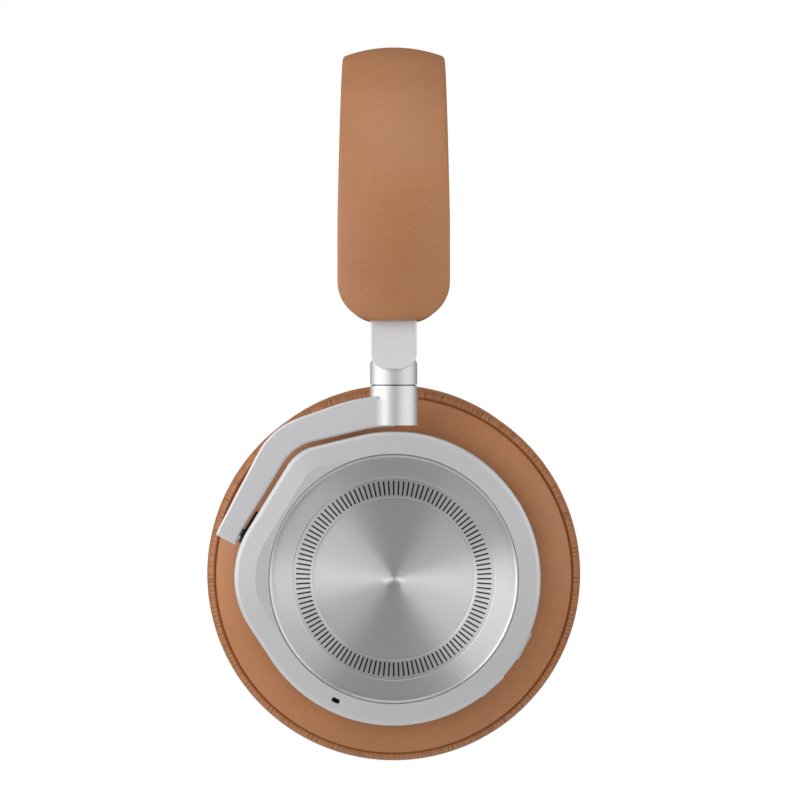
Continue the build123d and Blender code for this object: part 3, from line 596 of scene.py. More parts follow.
def circular_brushed_aluminium(name, tone):
    """Aluminium disc, faced on a lathe with an abrasive pad and clear-anodised."""
    # The scratches run in circles, so the light spreads out along the radius and shows as two bright
    # fans at the sides. The scratches are about 0.15 mm apart.
    finish, tree, surface = new_finish(name)
    place = add_node(tree, "ShaderNodeTexCoord").outputs["Object"]
    centred = add_node(
        tree, "ShaderNodeMapping", {"Vector": place, "Location": (0, 0, -CUP_HEIGHT), "Scale": (0, 1, 1)}
    )
    out = add_node(tree, "ShaderNodeVectorMath", {0: centred.outputs["Vector"]}, operation="LENGTH")
    around = add_node(tree, "ShaderNodeVectorMath", {0: centred.outputs["Vector"]}, operation="NORMALIZE")
    ring = add_node(tree, "ShaderNodeMath", {0: out.outputs["Value"], 1: 6600.0}, operation="MULTIPLY")
    arc = add_node(
        tree,
        "ShaderNodeVectorMath",
        {0: around.outputs["Vector"], 1: (0.0, 2.2, 2.2)},
        operation="MULTIPLY",
    )
    spread = add_node(tree, "ShaderNodeCombineXYZ", {"X": ring.outputs["Value"]})
    joined = add_node(
        tree,
        "ShaderNodeVectorMath",
        {0: spread.outputs["Vector"], 1: arc.outputs["Vector"]},
        operation="ADD",
    )
    scratches = add_node(
        tree, "ShaderNodeTexNoise", {"Vector": joined.outputs["Vector"], "Scale": 1.0, "Detail": 3.0}
    )
    mixed = add_node(
        tree,
        "ShaderNodeMix",
        {0: scratches.outputs["Fac"], 6: shaded(tone, 0.95), 7: shaded(tone, 1.04)},
        data_type="RGBA",
    )
    # The floors of the slots in the ring are painted dark grey: painted shade in the recesses.
    parts = add_node(tree, "ShaderNodeSeparateXYZ", {"Vector": place})
    inward = add_node(tree, "ShaderNodeMath", {0: parts.outputs["X"]}, operation="ABSOLUTE")
    below = add_node(
        tree, "ShaderNodeMath", {0: inward.outputs["Value"], 1: RIM - 2.42 * MM}, operation="LESS_THAN"
    )
    from_ring = add_node(
        tree, "ShaderNodeMath", {0: out.outputs["Value"], 1: 23.05 * MM, 2: 2.1 * MM}, operation="COMPARE"
    )
    in_slot = add_node(
        tree,
        "ShaderNodeMath",
        {0: below.outputs["Value"], 1: from_ring.outputs["Value"]},
        operation="MULTIPLY",
    )
    slot_floor_painted_shade = add_node(
        tree,
        "ShaderNodeMix",
        {0: in_slot.outputs["Value"], 6: mixed.outputs[2], 7: linear("4A4A4C")},
        data_type="RGBA",
    )
    relief = add_node(
        tree, "ShaderNodeBump", {"Height": scratches.outputs["Fac"], "Strength": 0.08, "Distance": 0.00003}
    )
    tangent = add_node(tree, "ShaderNodeTangent", direction_type="RADIAL", axis="X")
    fill_in(
        tree,
        surface,
        {
            "Base Color": slot_floor_painted_shade.outputs[2],
            "Normal": relief.outputs["Normal"],
            "Tangent": tangent.outputs["Tangent"],
            "Metallic": 1.0,
            "Roughness": 0.5,
            "Anisotropic": 0.87,
            "Anisotropic Rotation": 0.25,
        },
    )
    return finish


def silver_paint(name, tone):
    """Matte silver paint, sprayed over glass-filled moulded nylon."""
    # Fine flakes give a slight sparkle of tone, and the spray leaves a faint orange peel 1.2 mm across.
    finish, tree, surface = new_finish(name)
    place = add_node(tree, "ShaderNodeTexCoord").outputs["Object"]
    flakes = add_node(tree, "ShaderNodeTexNoise", {"Vector": place, "Scale": 3600.0, "Detail": 1.0})
    peel = add_node(tree, "ShaderNodeTexNoise", {"Vector": place, "Scale": 830.0, "Detail": 2.0})
    mixed = add_node(
        tree,
        "ShaderNodeMix",
        {0: flakes.outputs["Fac"], 6: shaded(tone, 0.94), 7: shaded(tone, 1.05)},
        data_type="RGBA",
    )
    relief = add_node(
        tree, "ShaderNodeBump", {"Height": peel.outputs["Fac"], "Strength": 0.12, "Distance": 0.00006}
    )
    fill_in(
        tree,
        surface,
        {
            "Base Color": mixed.outputs[2],
            "Normal": relief.outputs["Normal"],
            "Metallic": 0.25,
            "Roughness": 0.45,
        },
    )
    return finish


def moulded(name, tone, rough, grain, depth):
    """Injection-moulded plastic or rubber with the fine texture of its mould."""
    # The spark-eroded mould leaves a grain of this many millimetres, which scatters the shine, and the
    # colour is even with only faint flow marks.
    finish, tree, surface = new_finish(name)
    place = add_node(tree, "ShaderNodeTexCoord").outputs["Object"]
    texture = add_node(
        tree, "ShaderNodeTexNoise", {"Vector": place, "Scale": 1 / (grain * MM), "Detail": 2.0}
    )
    flow = add_node(tree, "ShaderNodeTexNoise", {"Vector": place, "Scale": 90.0, "Detail": 2.0})
    mixed = add_node(
        tree,
        "ShaderNodeMix",
        {0: flow.outputs["Fac"], 6: shaded(tone, 0.9), 7: shaded(tone, 1.12)},
        data_type="RGBA",
    )
    level = add_node(
        tree,
        "ShaderNodeMapRange",
        {"Value": texture.outputs["Fac"], "To Min": rough - 0.07, "To Max": rough + 0.07},
    )
    relief = add_node(
        tree, "ShaderNodeBump", {"Height": texture.outputs["Fac"], "Strength": 0.3, "Distance": depth * MM}
    )
    fill_in(
        tree,
        surface,
        {
            "Base Color": mixed.outputs[2],
            "Roughness": level.outputs["Result"],
            "Normal": relief.outputs["Normal"],
        },
    )
    return finish


def steel(name, tone, rough, lay):
    """Steel, ground, rolled or plated."""
    # Grinding lines run along the piece, drawn coarse enough to show, and the shine is tight across
    # them. `lay` is the number of lines in a metre along each axis.
    finish, tree, surface = new_finish(name)
    place = add_node(tree, "ShaderNodeTexCoord").outputs["Object"]
    stretched = add_node(tree, "ShaderNodeMapping", {"Vector": place, "Scale": lay})
    lines = add_node(
        tree, "ShaderNodeTexNoise", {"Vector": stretched.outputs["Vector"], "Scale": 1.0, "Detail": 3.0}
    )
    mixed = add_node(
        tree,
        "ShaderNodeMix",
        {0: lines.outputs["Fac"], 6: shaded(tone, 0.85), 7: shaded(tone, 1.1)},
        data_type="RGBA",
    )
    level = add_node(
        tree,
        "ShaderNodeMapRange",
        {"Value": lines.outputs["Fac"], "To Min": rough - 0.08, "To Max": rough + 0.08},
    )
    relief = add_node(
        tree, "ShaderNodeBump", {"Height": lines.outputs["Fac"], "Strength": 0.15, "Distance": 0.00003}
    )
    fill_in(
        tree,
        surface,
        {
            "Base Color": mixed.outputs[2],
            "Roughness": level.outputs["Result"],
            "Normal": relief.outputs["Normal"],
            "Metallic": 1.0,
        },
    )
    return finish


def woven_screen(name, tone):
    """Black polyester monofilament, plain-woven to an acoustic screen."""
    # A grid of threads 0.8 mm apart, drawn coarser than the real 0.2 mm so that it shows.
    finish, tree, surface = new_finish(name)
    place = add_node(tree, "ShaderNodeTexCoord").outputs["Object"]
    parts = add_node(tree, "ShaderNodeSeparateXYZ", {"Vector": place})
    waves = []
    for side in ("Y", "Z"):
        turn = add_node(
            tree, "ShaderNodeMath", {0: parts.outputs[side], 1: 2 * pi / (0.8 * MM)}, operation="MULTIPLY"
        )
        waves.append(add_node(tree, "ShaderNodeMath", {0: turn.outputs["Value"]}, operation="SINE"))
    weave = add_node(
        tree,
        "ShaderNodeMath",
        {0: waves[0].outputs["Value"], 1: waves[1].outputs["Value"]},
        operation="MULTIPLY",
    )
    level = add_node(
        tree, "ShaderNodeMapRange", {"Value": weave.outputs["Value"], "From Min": -1.0, "From Max": 1.0}
    )
    mixed = add_node(
        tree,
        "ShaderNodeMix",
        {0: level.outputs["Result"], 6: shaded(tone, 0.5), 7: shaded(tone, 2.2)},
        data_type="RGBA",
    )
    relief = add_node(
        tree, "ShaderNodeBump", {"Height": weave.outputs["Value"], "Strength": 0.6, "Distance": 0.0001}
    )
    fill_in(
        tree,
        surface,
        {
            "Base Color": mixed.outputs[2],
            "Normal": relief.outputs["Normal"],
            "Roughness": 0.75,
            "Sheen Weight": 0.2,
        },
    )
    return finish


def printed_board(name):
    """Glass-epoxy circuit board with green solder mask over its copper tracks."""
    # The tracks under the mask show as slightly lighter lines 0.9 mm apart with square corners.
    finish, tree, surface = new_finish(name)
    place = add_node(tree, "ShaderNodeTexCoord").outputs["Object"]
    tracks = add_node(
        tree,
        "ShaderNodeTexVoronoi",
        {"Vector": place, "Scale": 420.0},
        feature="F1",
        distance="MANHATTAN",
    )
    edges = add_node(
        tree, "ShaderNodeMapRange", {"Value": tracks.outputs["Distance"], "From Min": 0.42, "From Max": 0.5}
    )
    mixed = add_node(
        tree,
        "ShaderNodeMix",
        {0: edges.outputs["Result"], 6: linear("123B24"), 7: linear("2B6A43")},
        data_type="RGBA",
    )
    relief = add_node(
        tree, "ShaderNodeBump", {"Height": edges.outputs["Result"], "Strength": 0.3, "Distance": 0.00004}
    )
    fill_in(
        tree,
        surface,
        {
            "Base Color": mixed.outputs[2],
            "Normal": relief.outputs["Normal"],
            "Roughness": 0.3,
        },
    )
    return finish


def polyester_film(name, tone):
    """Thin drawn or moulded plastic film."""
    # Glossy, with faint ripples 2 mm apart from its drawing.
    finish, tree, surface = new_finish(name)
    place = add_node(tree, "ShaderNodeTexCoord").outputs["Object"]
    ripples = add_node(tree, "ShaderNodeTexNoise", {"Vector": place, "Scale": 500.0, "Detail": 1.0})
    mixed = add_node(
        tree,
        "ShaderNodeMix",
        {0: ripples.outputs["Fac"], 6: shaded(tone, 0.85), 7: shaded(tone, 1.15)},
        data_type="RGBA",
    )
    relief = add_node(
        tree, "ShaderNodeBump", {"Height": ripples.outputs["Fac"], "Strength": 0.2, "Distance": 0.0001}
    )
    fill_in(
        tree,
        surface,
        {
            "Base Color": mixed.outputs[2],
            "Normal": relief.outputs["Normal"],
            "Roughness": 0.2,
        },
    )
    return finish


def studio_paper(name):
    """White seamless paper, matt."""
    # A faint fibre texture that shows only close up.
    finish, tree, surface = new_finish(name)
    place = add_node(tree, "ShaderNodeTexCoord").outputs["Object"]
    fibre = add_node(tree, "ShaderNodeTexNoise", {"Vector": place, "Scale": 400.0, "Detail": 2.0})
    mixed = add_node(
        tree,
        "ShaderNodeMix",
        {0: fibre.outputs["Fac"], 6: linear("F0F0F0"), 7: linear("F6F6F6")},
        data_type="RGBA",
    )
    fill_in(
        tree,
        surface,
        {
            "Base Color": mixed.outputs[2],
            "Roughness": 0.9,
        },
    )
    return finish


def finishes():
    """The finish of each material slot of the record."""
    tones = bpy.context.scene.headphone_finishes
    grey = linear("BDBEC2")
    return {
        "cover_leather": full_grain_leather("band_leather", tones.band_leather, False),
        "pad_leather": full_grain_leather("pad_leather", tones.pad_leather, True),
        "cushion_knit": jersey_knit("jersey_knit", tones.knit),
        "spring_steel": steel("rolled_spring_steel", linear("A3A5AA"), 0.28, (200, 4000, 200)),
        "pin_steel": steel("ground_steel", linear("C3C4C8"), 0.2, (400, 400, 5000)),
        "screw_steel": steel("zinc_plated_steel", linear("B4B6BA"), 0.25, (3000, 3000, 3000)),
        "magnet_steel": steel("nickel_plated_steel", linear("A8A49C"), 0.3, (300, 3000, 3000)),
        "socket_steel": steel("drawn_steel", grey, 0.25, (3000, 300, 300)),
        # One anodised aluminium in lit and shaded copies: painted lighter on the stems, a little darker on
        # the yokes and darker still on the barrels, as painted light and shade.
        "slider_aluminium": blasted_aluminium(
            "blasted_stem_aluminium", shaded(tones.aluminium, 1.12), 0.74, 0.74
        ),
        "yoke_aluminium": blasted_aluminium(
            "blasted_yoke_aluminium", shaded(tones.aluminium, 0.97), 0.66, 0.54
        ),
        "barrel_aluminium": blasted_aluminium(
            "blasted_barrel_aluminium", shaded(tones.aluminium, 0.92), 0.6, 0.56
        ),
        "disc_aluminium": circular_brushed_aluminium("circular_brushed_aluminium", tones.aluminium),
        "housing_finish": silver_paint("silver_paint", tones.shell),
        "frame_plastic": moulded("moulded_nylon", tones.black, 0.5, 0.4, 0.03),
        "inner_plastic": moulded("moulded_polycarbonate", linear("202023"), 0.45, 0.5, 0.03),
        "washer_plastic": moulded("acetal_washer", linear("111113"), 0.35, 0.3, 0.01),
        "bush_plastic": moulded("acetal_bush", linear("0C0C0E"), 0.35, 0.3, 0.01),
        "key_plastic": moulded("moulded_keys", linear("B9B9BB"), 0.4, 0.35, 0.02),
        "socket_plastic": moulded("socket_nylon", linear("131315"), 0.4, 0.3, 0.02),
        "boot_rubber": moulded("silicone_rubber", linear("0B0B0B"), 0.6, 0.5, 0.02),
        "battery_wrap": moulded("shrink_wrap", linear("2A3550"), 0.3, 1.5, 0.05),
        "screen_fabric": woven_screen("woven_screen", linear("1B1B1E")),
        "board_resin": printed_board("printed_board"),
        "diaphragm_film": polyester_film("polyester_diaphragm", linear("6E6A60")),
        "cable_film": polyester_film("polyimide_cable", linear("A9671E")),
    }


# ---- Band --------------------------------------------------------------------------------------


def unroll(piece):
    """Gives the band's piece a UV map in metres: U along the band from its crest, V across it."""
    sizes = bpy.context.scene.headphone_band
    top_centre = CREST - sizes.top_radius
    shoulder_x = LEG - sizes.shoulder_radius
    shoulder_z = top_centre + (sizes.top_radius - sizes.shoulder_radius) * cos(sizes.shoulder_start)
    top_run = sizes.top_radius * sizes.shoulder_start
    shoulder_run = sizes.shoulder_radius * (pi / 2 - sizes.shoulder_start)

    def along(x, z):
        side = -1 if x < 0 else 1
        turned = atan2(abs(x), z - top_centre)
        if turned <= sizes.shoulder_start:
            return side * sizes.top_radius * turned
        if z < shoulder_z:
            return side * (top_run + shoulder_run + shoulder_z - z)
        turned = min(pi / 2, max(sizes.shoulder_start, atan2(abs(x) - shoulder_x, z - shoulder_z)))
        return side * (top_run + sizes.shoulder_radius * (turned - sizes.shoulder_start))

    flat = [(along(at[0], at[2]), at[1]) for at in points_of(piece)]
    layer = piece.data.uv_layers.new(name="unrolled")
    for corner in piece.data.loops:
        layer.data[corner.index].uv = flat[corner.vertex_index]


def sweep_band(rings):
    """Carries the band's section, selected in edit mode, from the crest over the left shoulder."""
    sizes = bpy.context.scene.headphone_band
    top_centre = (0, 0, CREST - sizes.top_radius)
    shoulder_z = top_centre[2] + (sizes.top_radius - sizes.shoulder_radius) * cos(sizes.shoulder_start)
    shoulder = (LEG - sizes.shoulder_radius, 0, shoulder_z)
    thin = radians(0.15)
    bpy.ops.mesh.spin(steps=1, angle=thin, center=top_centre, axis=(0, -1, 0))
    bpy.ops.mesh.spin(steps=rings[0], angle=sizes.shoulder_start - thin, center=top_centre, axis=(0, -1, 0))
    bpy.ops.mesh.spin(steps=rings[1], angle=pi / 2 - sizes.shoulder_start, center=shoulder, axis=(0, -1, 0))
    return shoulder_z


def round_end(shoulder_z, inset, rings, front):
    """Draws the leg down to the band's end, with its two round corners and a soft front edge.

    The section narrows with the corners' arc. `front` is the rounding of the edge between the outer
    face and the end.
    """
    sizes = bpy.context.scene.headphone_band
    low = sizes.end + inset
    radius = sizes.end_rounding - inset
    half = sizes.width / 2 - inset
    start = low + radius
    for _ in range(rings[0]):
        step = (start - shoulder_z) / rings[0]
        bpy.ops.mesh.extrude_region_move(TRANSFORM_OT_translate={"value": (0, 0, step)})
    height, wide, deep = start, half, sizes.side
    back = LEG - sizes.side
    for number in range(1, rings[1] + 1):
        angle = (number / rings[1]) ** 0.85 * pi / 2
        next_height = start - radius * sin(angle)
        next_wide = half - radius + radius * cos(angle)
        below = max(0.0, min(front, low + front - next_height))
        next_deep = sizes.side - (front - sqrt(front * front - below * below))
        bpy.ops.mesh.extrude_region_move(TRANSFORM_OT_translate={"value": (0, 0, next_height - height)})
        bpy.ops.transform.resize(
            value=(next_deep / deep, next_wide / wide, 1), center_override=(back, 0, next_height)
        )
        height, wide, deep = next_height, next_wide, next_deep
    return height


def narrow_to_crest(piece):
    """Draws the band's sides in towards the crest with a lattice cage."""
    sizes = bpy.context.scene.headphone_band
    low, high = sizes.taper_start, CREST
    bpy.ops.object.select_all(action="DESELECT")
    bpy.ops.object.add(type="LATTICE", location=(0, 0, (low + high) / 2))
    cage = bpy.context.object
    cage.scale = (4 * LEG, sizes.width, high - low)
    cage.data.interpolation_type_u = cage.data.interpolation_type_v = "KEY_LINEAR"
    cage.data.interpolation_type_w = "KEY_LINEAR"
    for corner in cage.data.points:
        if corner.co.z > 0:
            corner.co_deform.y *= 1 - 2 * sizes.taper / sizes.width
    bpy.context.view_layer.update()
    apply_modifier(piece, "LATTICE", object=cage)
    pick(cage)
    bpy.ops.object.delete()


class HEADPHONES_OT_band_cover(bpy.types.Operator):
    """Model the leather cover of the band, in two halves that meet at the crest"""

    bl_idname = "headphones.band_cover"
    bl_label = "Band cover"

    def execute(self, context):
        sizes = context.scene.headphone_band
        half, rise, edge = sizes.width / 2, sizes.crown, sizes.edge
        crown = (half * half + rise * rise) / (2 * rise)
        corner_depth = crown - sqrt((crown - edge) ** 2 - (half - edge) ** 2)
        first = asin((half - edge) / (crown - edge))
        corner = [
            (half - edge + edge * sin(turn), corner_depth - edge * cos(turn))
            for turn in (first + (pi / 2 - first) * step / 5 for step in range(6))
        ]
        reach = corner[0][0]
        crest = [
            (reach * step / 12, crown - sqrt(crown * crown - (reach * step / 12) ** 2)) for step in range(12)
        ]
        side = [(half, corner_depth + (sizes.side - corner_depth) * step / 3) for step in (1, 2, 3)]
        right = crest + corner + side
        section = [(-y, depth) for y, depth in reversed(right[1:])] + right
        piece = trace_line("left_band_cover", [(0, y, CREST - depth) for y, depth in section])
        shoulder_z = sweep_band((48, 26))
        low = round_end(shoulder_z, 0, (5, 18), 1.6 * MM)
        # The end is closed by drawing the last ring back to the line where the leather stops.
        bpy.ops.mesh.extrude_region_move(TRANSFORM_OT_translate={"value": (0, 0, 0)})
        bpy.ops.transform.resize(value=(0, 1, 1), center_override=(LEG - sizes.side, 0, low))
        close_up(piece)
        narrow_to_crest(piece)
        apply_modifier(piece, "SOLIDIFY", thickness=sizes.leather, offset=-1)
        self.cut_slot(piece)
        other = mirrored(piece, "right_band_cover")
        for cover, body, way in ((piece, "left_band", 1), (other, "right_band", -1)):
            smooth(cover, 50)
            unroll(cover)
            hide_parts("headband_cover")
            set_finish(cover, "cover_leather")
            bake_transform(cover)
        return {"FINISHED"}

    def cut_slot(self, piece):
        """Opens the end for the stem with a rounded cutter."""
        sizes = bpy.context.scene.headphone_band
        low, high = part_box("left_stem")
        gap = 0.25 * MM
        bpy.ops.object.select_all(action="DESELECT")
        bpy.ops.mesh.primitive_cube_add(size=1, location=((low.x + high.x) / 2, 0, sizes.end))
        cutter = bpy.context.object
        bpy.ops.transform.resize(value=(high.x - low.x + 2 * gap, high.y - low.y + 2 * gap, 0.012))
        bpy.ops.object.transform_apply(location=True, scale=True)
        bpy.ops.object.mode_set(mode="EDIT")
        bpy.ops.mesh.select_all(action="SELECT")
        bpy.ops.mesh.bevel(offset=0.4 * MM, segments=3)
        bpy.ops.object.mode_set(mode="OBJECT")
        apply_modifier(piece, "BOOLEAN", object=cutter, operation="DIFFERENCE", solver="EXACT")
        pick(cutter)
        bpy.ops.object.delete()


class HEADPHONES_OT_band_cushion(bpy.types.Operator):
    """Model the knitted cushion under the band and swell its foam"""

    bl_idname = "headphones.band_cushion"
    bl_label = "Band cushion"

    def execute(self, context):
        sizes = context.scene.headphone_band
        half = sizes.width / 2 - 0.6 * MM
        top = sizes.side + 0.1 * MM
        low = sizes.underside - 0.35 * MM
        right = [
            (half * 0.3, low - 0.06 * MM),
            (half * 0.55, low - 0.35 * MM),
            (half * 0.76, low - 0.85 * MM),
            (half * 0.9, low - 1.5 * MM),
            (half * 0.98, top + 1.6 * MM),
            (half * 0.995, top + 0.8 * MM),
            (half * 0.95, top + 0.1 * MM),
            (half * 0.8, top),
            (half * 0.4, top),
        ]
        section = [(0, low)] + right + [(0, top)] + [(-y, depth) for y, depth in reversed(right)] + [(0, low)]
        piece = trace_line("left_band_cushion", [(0, y, CREST - depth) for y, depth in section])
        bpy.ops.mesh.remove_doubles(threshold=0.000005)
        shoulder_z = sweep_band((30, 16))
        height = round_end(shoulder_z, 0.6 * MM, (4, 8), 0.001 * MM)
        bpy.ops.mesh.extrude_region_move(TRANSFORM_OT_translate={"value": (0, 0, 0)})
        middle = LEG - (low + top) / 2
        bpy.ops.transform.resize(value=(0.3, 0.4, 1), center_override=(middle, 0, height))
        bpy.ops.mesh.edge_face_add()
        # The other half is a mirrored copy, joined at the crest, so that the foam swells as one.
        bpy.ops.mesh.select_all(action="SELECT")
        bpy.ops.mesh.duplicate()
        bpy.ops.transform.resize(value=(-1, 1, 1), center_override=(0, 0, 0))
        bpy.ops.mesh.flip_normals()
        close_up(piece)
        narrow_to_crest(piece)
        glue = sizes.side + 0.6 * MM
        top_centre = CREST - sizes.top_radius
        shoulder_x = LEG - sizes.shoulder_radius
        shoulder_z = top_centre + (sizes.top_radius - sizes.shoulder_radius) * cos(sizes.shoulder_start)

        def against_frame(x, y, z):
            x = abs(x)
            if atan2(x, z - top_centre) <= sizes.shoulder_start:
                return sizes.top_radius - hypot(x, z - top_centre) < glue
            if z > shoulder_z:
                return sizes.shoulder_radius - hypot(x - shoulder_x, z - shoulder_z) < glue
            return LEG - x < glue

        swell(piece, against_frame, sizes.swell)
        apply_modifier(piece, "SUBSURF", levels=1, render_levels=1)
        halves = [(piece, "left_band", 1, "left_band_cushion")]
        pick(piece)
        bpy.ops.object.duplicate()
        halves.append((bpy.context.object, "right_band", -1, "right_band_cushion"))
        for cushion, body, way, name in halves:
            cushion.name = cushion.data.name = name
            pick(cushion)
            bpy.ops.object.mode_set(mode="EDIT")
            bpy.ops.mesh.select_all(action="SELECT")
            bpy.ops.mesh.bisect(
                plane_co=(0, 0, 0), plane_no=(way, 0, 0),
                use_fill=True, clear_inner=True, threshold=0.000001,
            )
            bpy.ops.object.mode_set(mode="OBJECT")
            smooth(cushion, 50)
            unroll(cushion)
            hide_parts("headband_cushion")
            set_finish(cushion, "cushion_knit")
            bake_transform(cushion)
        return {"FINISHED"}


class HEADPHONES_OT_band_inside(bpy.types.Operator):
    """Copy the frame, spring strip and flat cable inside the band as smooth pieces, with the strip and the
    cable cut in halves at the crest
    """

    bl_idname = "headphones.band_inside"
    bl_label = "Inside of the band"

    def execute(self, context):
        pieces = []
        for node in ("spring_core", "headband_cable"):
            for side, way in (("left", 1), ("right", -1)):
                piece = self.copy(node, f"{side}_{node}")
                bpy.ops.object.mode_set(mode="EDIT")
                bpy.ops.mesh.select_all(action="SELECT")
                bpy.ops.mesh.bisect(
                    plane_co=(0, 0, 0), plane_no=(way, 0, 0),
                    use_fill=True, clear_inner=True, threshold=0.000001,
                )
                bpy.ops.object.mode_set(mode="OBJECT")
                pieces.append((piece, node, side, way))
        for side, way in (("left", 1), ("right", -1)):
            node = f"{side}_band_frame"
            pieces.append((self.copy(node, f"{side}_bending_frame"), node, side, way))
        for piece, node, side, way in pieces:
            self.bend(piece, node, side, way)
        return {"FINISHED"}

    def copy(self, node, name):
        """A merged copy of the CAD node's mesh."""
        pick(frame["nodes"][node])
        bpy.ops.object.duplicate()
        piece = bpy.context.object
        piece.parent = None
        piece.name = piece.data.name = name
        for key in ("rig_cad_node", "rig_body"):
            del piece[key]
        bpy.ops.object.mode_set(mode="EDIT")
        bpy.ops.mesh.select_all(action="SELECT")
        bpy.ops.mesh.remove_doubles(threshold=0.000005)
        bpy.ops.object.mode_set(mode="OBJECT")
        return piece

    def bend(self, piece, node, side, way):
        smooth(piece, 30)
        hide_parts(node)
        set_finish(piece, piece.data.materials[0].name)
        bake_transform(piece)


# ---- Ear pads ------------------------------------------------------------------------------------


class HEADPHONES_OT_ear_pads(bpy.types.Operator):
    """Model the ring-shaped leather ear pads with their sewn seam and swell their foam"""

    bl_idname = "headphones.ear_pads"
    bl_label = "Ear pads"

    def execute(self, context):
        sizes = context.scene.headphone_pads
        seam, widest = sizes.seam / MM, sizes.radius / MM
        # Section of the pad as radius and depth below the disc's rim, in millimetres: its back on the
        # ring, the face beside the shell, the seam, the gathered roll, the cheek side and the hole.
        section = [
            (27.8, 18.95), (30.3, 18.95), (32.9, 18.95), (35.4, 18.95), (37.3, 19.1), (39.2, 19.55),
            (41.0, 20.25), (42.6, 21.1), (44.0, 22.0), (seam - 0.85, 22.65), (seam - 0.3, 23.2),
            (seam - 0.05, 23.75), (seam - 0.1, 24.5), (seam + 0.08, 24.9), (seam + 0.25, 24.45),
            (seam + 0.6, 24.2), (seam + 1.05, 24.45), (seam + 1.5, 25.1), (widest - 0.3, 26.2),
            (widest - 0.05, 27.4), (widest, 28.7), (widest - 0.02, 30.4), (widest - 0.15, 32.3),
            (47.5, 34.3), (46.95, 36.4), (46.2, 38.5), (45.2, 40.6), (43.9, 42.7), (42.5, 44.3),
            (41.2, 45.3), (39.9, 45.75), (38.5, 45.8), (37.0, 45.8), (35.6, 45.75), (34.2, 45.3),
            (32.8, 44.4), (31.4, 43.0), (30.2, 41.2), (29.2, 39.0), (28.4, 36.5), (27.9, 34.1),
            (27.8, 31.8), (27.8, 29.2), (27.8, 26.6), (27.8, 24.0), (27.8, 21.4), (27.8, 18.95),
        ]
        points = [(RIM - depth * MM, radius * MM, CUP_HEIGHT) for radius, depth in section]
        piece = trace_line("left_pad", points)
        bpy.ops.mesh.spin(steps=sizes.spokes, angle=2 * pi, center=(0, 0, CUP_HEIGHT), axis=(1, 0, 0))
        close_up(piece)

        def sewn(x, y, z):
            out = hypot(y, z - CUP_HEIGHT) / MM
            depth = (RIM - x) / MM
            return depth < 19.2 or (out > seam - 0.6 and depth < 31) or (out < 28.2 and depth < 27)

        swell(piece, sewn, sizes.swell)
        apply_modifier(piece, "SUBSURF", levels=1, render_levels=1)
        gather(piece, 2 * sizes.spokes, sizes.seam, sizes.pleat)
        other = mirrored(piece, "right_pad")
        for pad, side in ((piece, "left"), (other, "right")):
            smooth(pad, 60)
            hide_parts(f"{side}_ear_pad")
            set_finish(pad, "pad_leather")
            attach(pad, f"{side}_cup")
        return {"FINISHED"}


# ---- Finishing and stage -------------------------------------------------------------------------


class HEADPHONES_OT_finish(bpy.types.Operator):
    """Give every piece the finish of its material slot"""

    bl_idname = "headphones.finish"
    bl_label = "Finishes"

    def execute(self, context):
        made = finishes()
        for node in frame["nodes"].values():
            for place in node.material_slots:
                place.material = made[place.material.name]
        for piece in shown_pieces():
            if "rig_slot" in piece:
                dress(piece, made[piece["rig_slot"]])
        return {"FINISHED"}


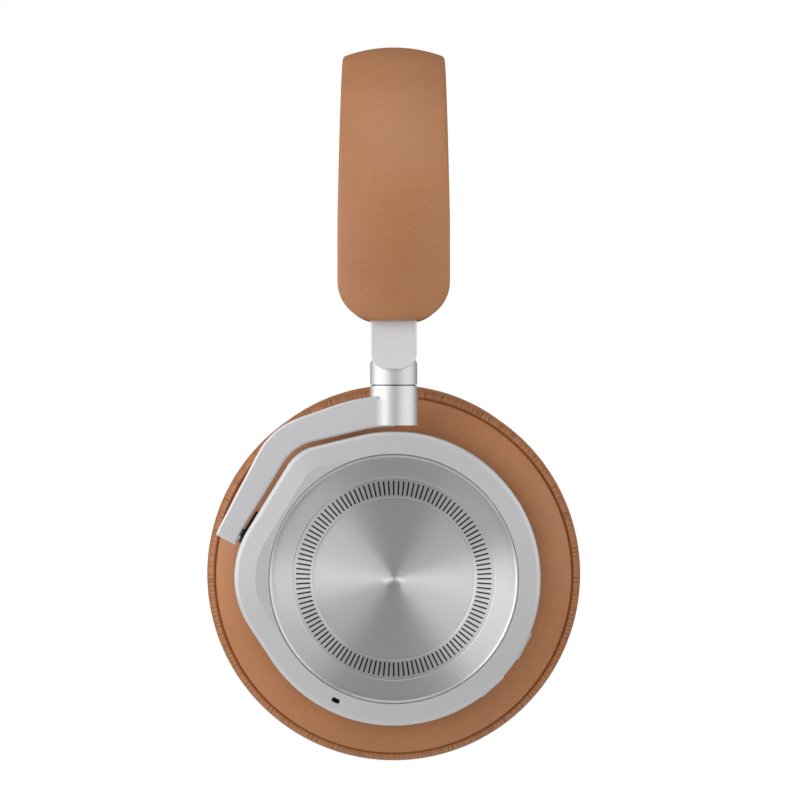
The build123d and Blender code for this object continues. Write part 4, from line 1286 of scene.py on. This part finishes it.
class HEADPHONES_OT_stage(bpy.types.Operator):
    """Set up the pale floor, the soft lights and the camera"""

    bl_idname = "headphones.stage"
    bl_label = "Stage"

    def execute(self, context):
        sizes = context.scene.headphone_stage
        bpy.ops.object.select_all(action="DESELECT")
        bpy.ops.mesh.primitive_cylinder_add(vertices=128, radius=0.9, depth=0.01, location=(0, 0, -0.6))
        floor = context.object
        floor.name = floor.data.name = "floor"
        bpy.ops.object.transform_apply(location=True)
        bpy.ops.object.mode_set(mode="EDIT")
        bpy.ops.mesh.select_all(action="SELECT")
        bpy.ops.mesh.bevel(offset=0.002, segments=2)
        bpy.ops.object.mode_set(mode="OBJECT")
        dress(floor, studio_paper("studio_paper"))
        floor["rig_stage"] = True

        out, side, up = PANEL_PLACE
        for name, y, power in (("front_light", -side, sizes.key), ("rear_light", side, sizes.fill)):
            self.soft_light(name, (out, y, up), PANEL_TARGET, *PANEL_SIZE, power)
        self.soft_light("top_light", (0.1, 0.0, 1.1), (0.0, 0.0, -0.05), 1.0, 1.0, sizes.top)
        self.surroundings(context.scene)

        bpy.ops.object.camera_add(
            location=(sizes.distance, 0, CAMERA_HEIGHT),
            rotation=(pi / 2 + CAMERA_TILT, 0, pi / 2 + CAMERA_TURN),
        )
        camera = context.object
        camera.name = "camera"
        camera.data.lens = sizes.lens
        camera.data.sensor_width = 36
        camera.data.clip_end = 100
        camera.data.dof.use_dof = False
        context.scene.camera = camera
        context.scene.view_settings.view_transform = "Standard"
        return {"FINISHED"}

    def soft_light(self, name, place, target, width, height, power):
        """A rectangular soft box that faces the target."""
        bpy.ops.object.light_add(type="AREA", location=place)
        light = bpy.context.object
        light.name = name
        light.data.shape = "RECTANGLE"
        light.data.size, light.data.size_y = width, height
        light.data.energy = power
        away = [p - t for p, t in zip(place, target)]
        turn = atan2(away[1], away[0]) + pi / 2
        light.rotation_euler = (atan2(hypot(away[0], away[1]), away[2]), 0, turn)

    def surroundings(self, scene):
        """A dim even room, with a plain white ground behind the object."""
        room = bpy.data.worlds.new("room")
        scene.world = room
        room.use_nodes = True
        tree = room.node_tree
        tree.nodes.clear()
        path = add_node(tree, "ShaderNodeLightPath")
        dim = add_node(
            tree,
            "ShaderNodeBackground",
            {"Color": linear("FFFFFF"), "Strength": scene.headphone_stage.room},
        )
        white = add_node(tree, "ShaderNodeBackground", {"Color": linear("FFFFFF"), "Strength": 1.0})
        seen = add_node(tree, "ShaderNodeMixShader", {0: path.outputs["Is Camera Ray"]})
        tree.links.new(dim.outputs["Background"], seen.inputs[1])
        tree.links.new(white.outputs["Background"], seen.inputs[2])
        add_node(tree, "ShaderNodeOutputWorld", {"Surface": seen.outputs["Shader"]})


MAKERS = (
    HEADPHONES_OT_band_cover,
    HEADPHONES_OT_band_cushion,
    HEADPHONES_OT_band_inside,
    HEADPHONES_OT_ear_pads,
    HEADPHONES_OT_finish,
    HEADPHONES_OT_stage,
)


class HEADPHONES_PT_maker(bpy.types.Panel):
    """Lists the steps that make the headphones, and their sizes and colours"""

    bl_idname = "HEADPHONES_PT_maker"
    bl_label = "Over-ear headphones"
    bl_space_type = "VIEW_3D"
    bl_region_type = "UI"
    bl_category = "Headphones"

    def draw(self, context):
        for maker in MAKERS:
            self.layout.operator(maker.bl_idname)
        for name, group in GROUPS.items():
            box = self.layout.box()
            for size in group.__annotations__:
                box.prop(getattr(context.scene, name), size)


def register():
    for group in GROUPS.values():
        bpy.utils.register_class(group)
    for name, group in GROUPS.items():
        setattr(bpy.types.Scene, name, bpy.props.PointerProperty(type=group))
    for maker in (*MAKERS, HEADPHONES_PT_maker):
        bpy.utils.register_class(maker)


def unregister():
    for maker in reversed((*MAKERS, HEADPHONES_PT_maker)):
        bpy.utils.unregister_class(maker)
    for name in GROUPS:
        delattr(bpy.types.Scene, name)
    for group in reversed(GROUPS.values()):
        bpy.utils.unregister_class(group)


def main():
    register()
    bpy.ops.headphones.band_cover()
    bpy.ops.headphones.band_cushion()
    bpy.ops.headphones.band_inside()
    bpy.ops.headphones.ear_pads()
    bpy.ops.headphones.finish()
    bpy.ops.headphones.stage()


if __name__ == "__main__":
    main()
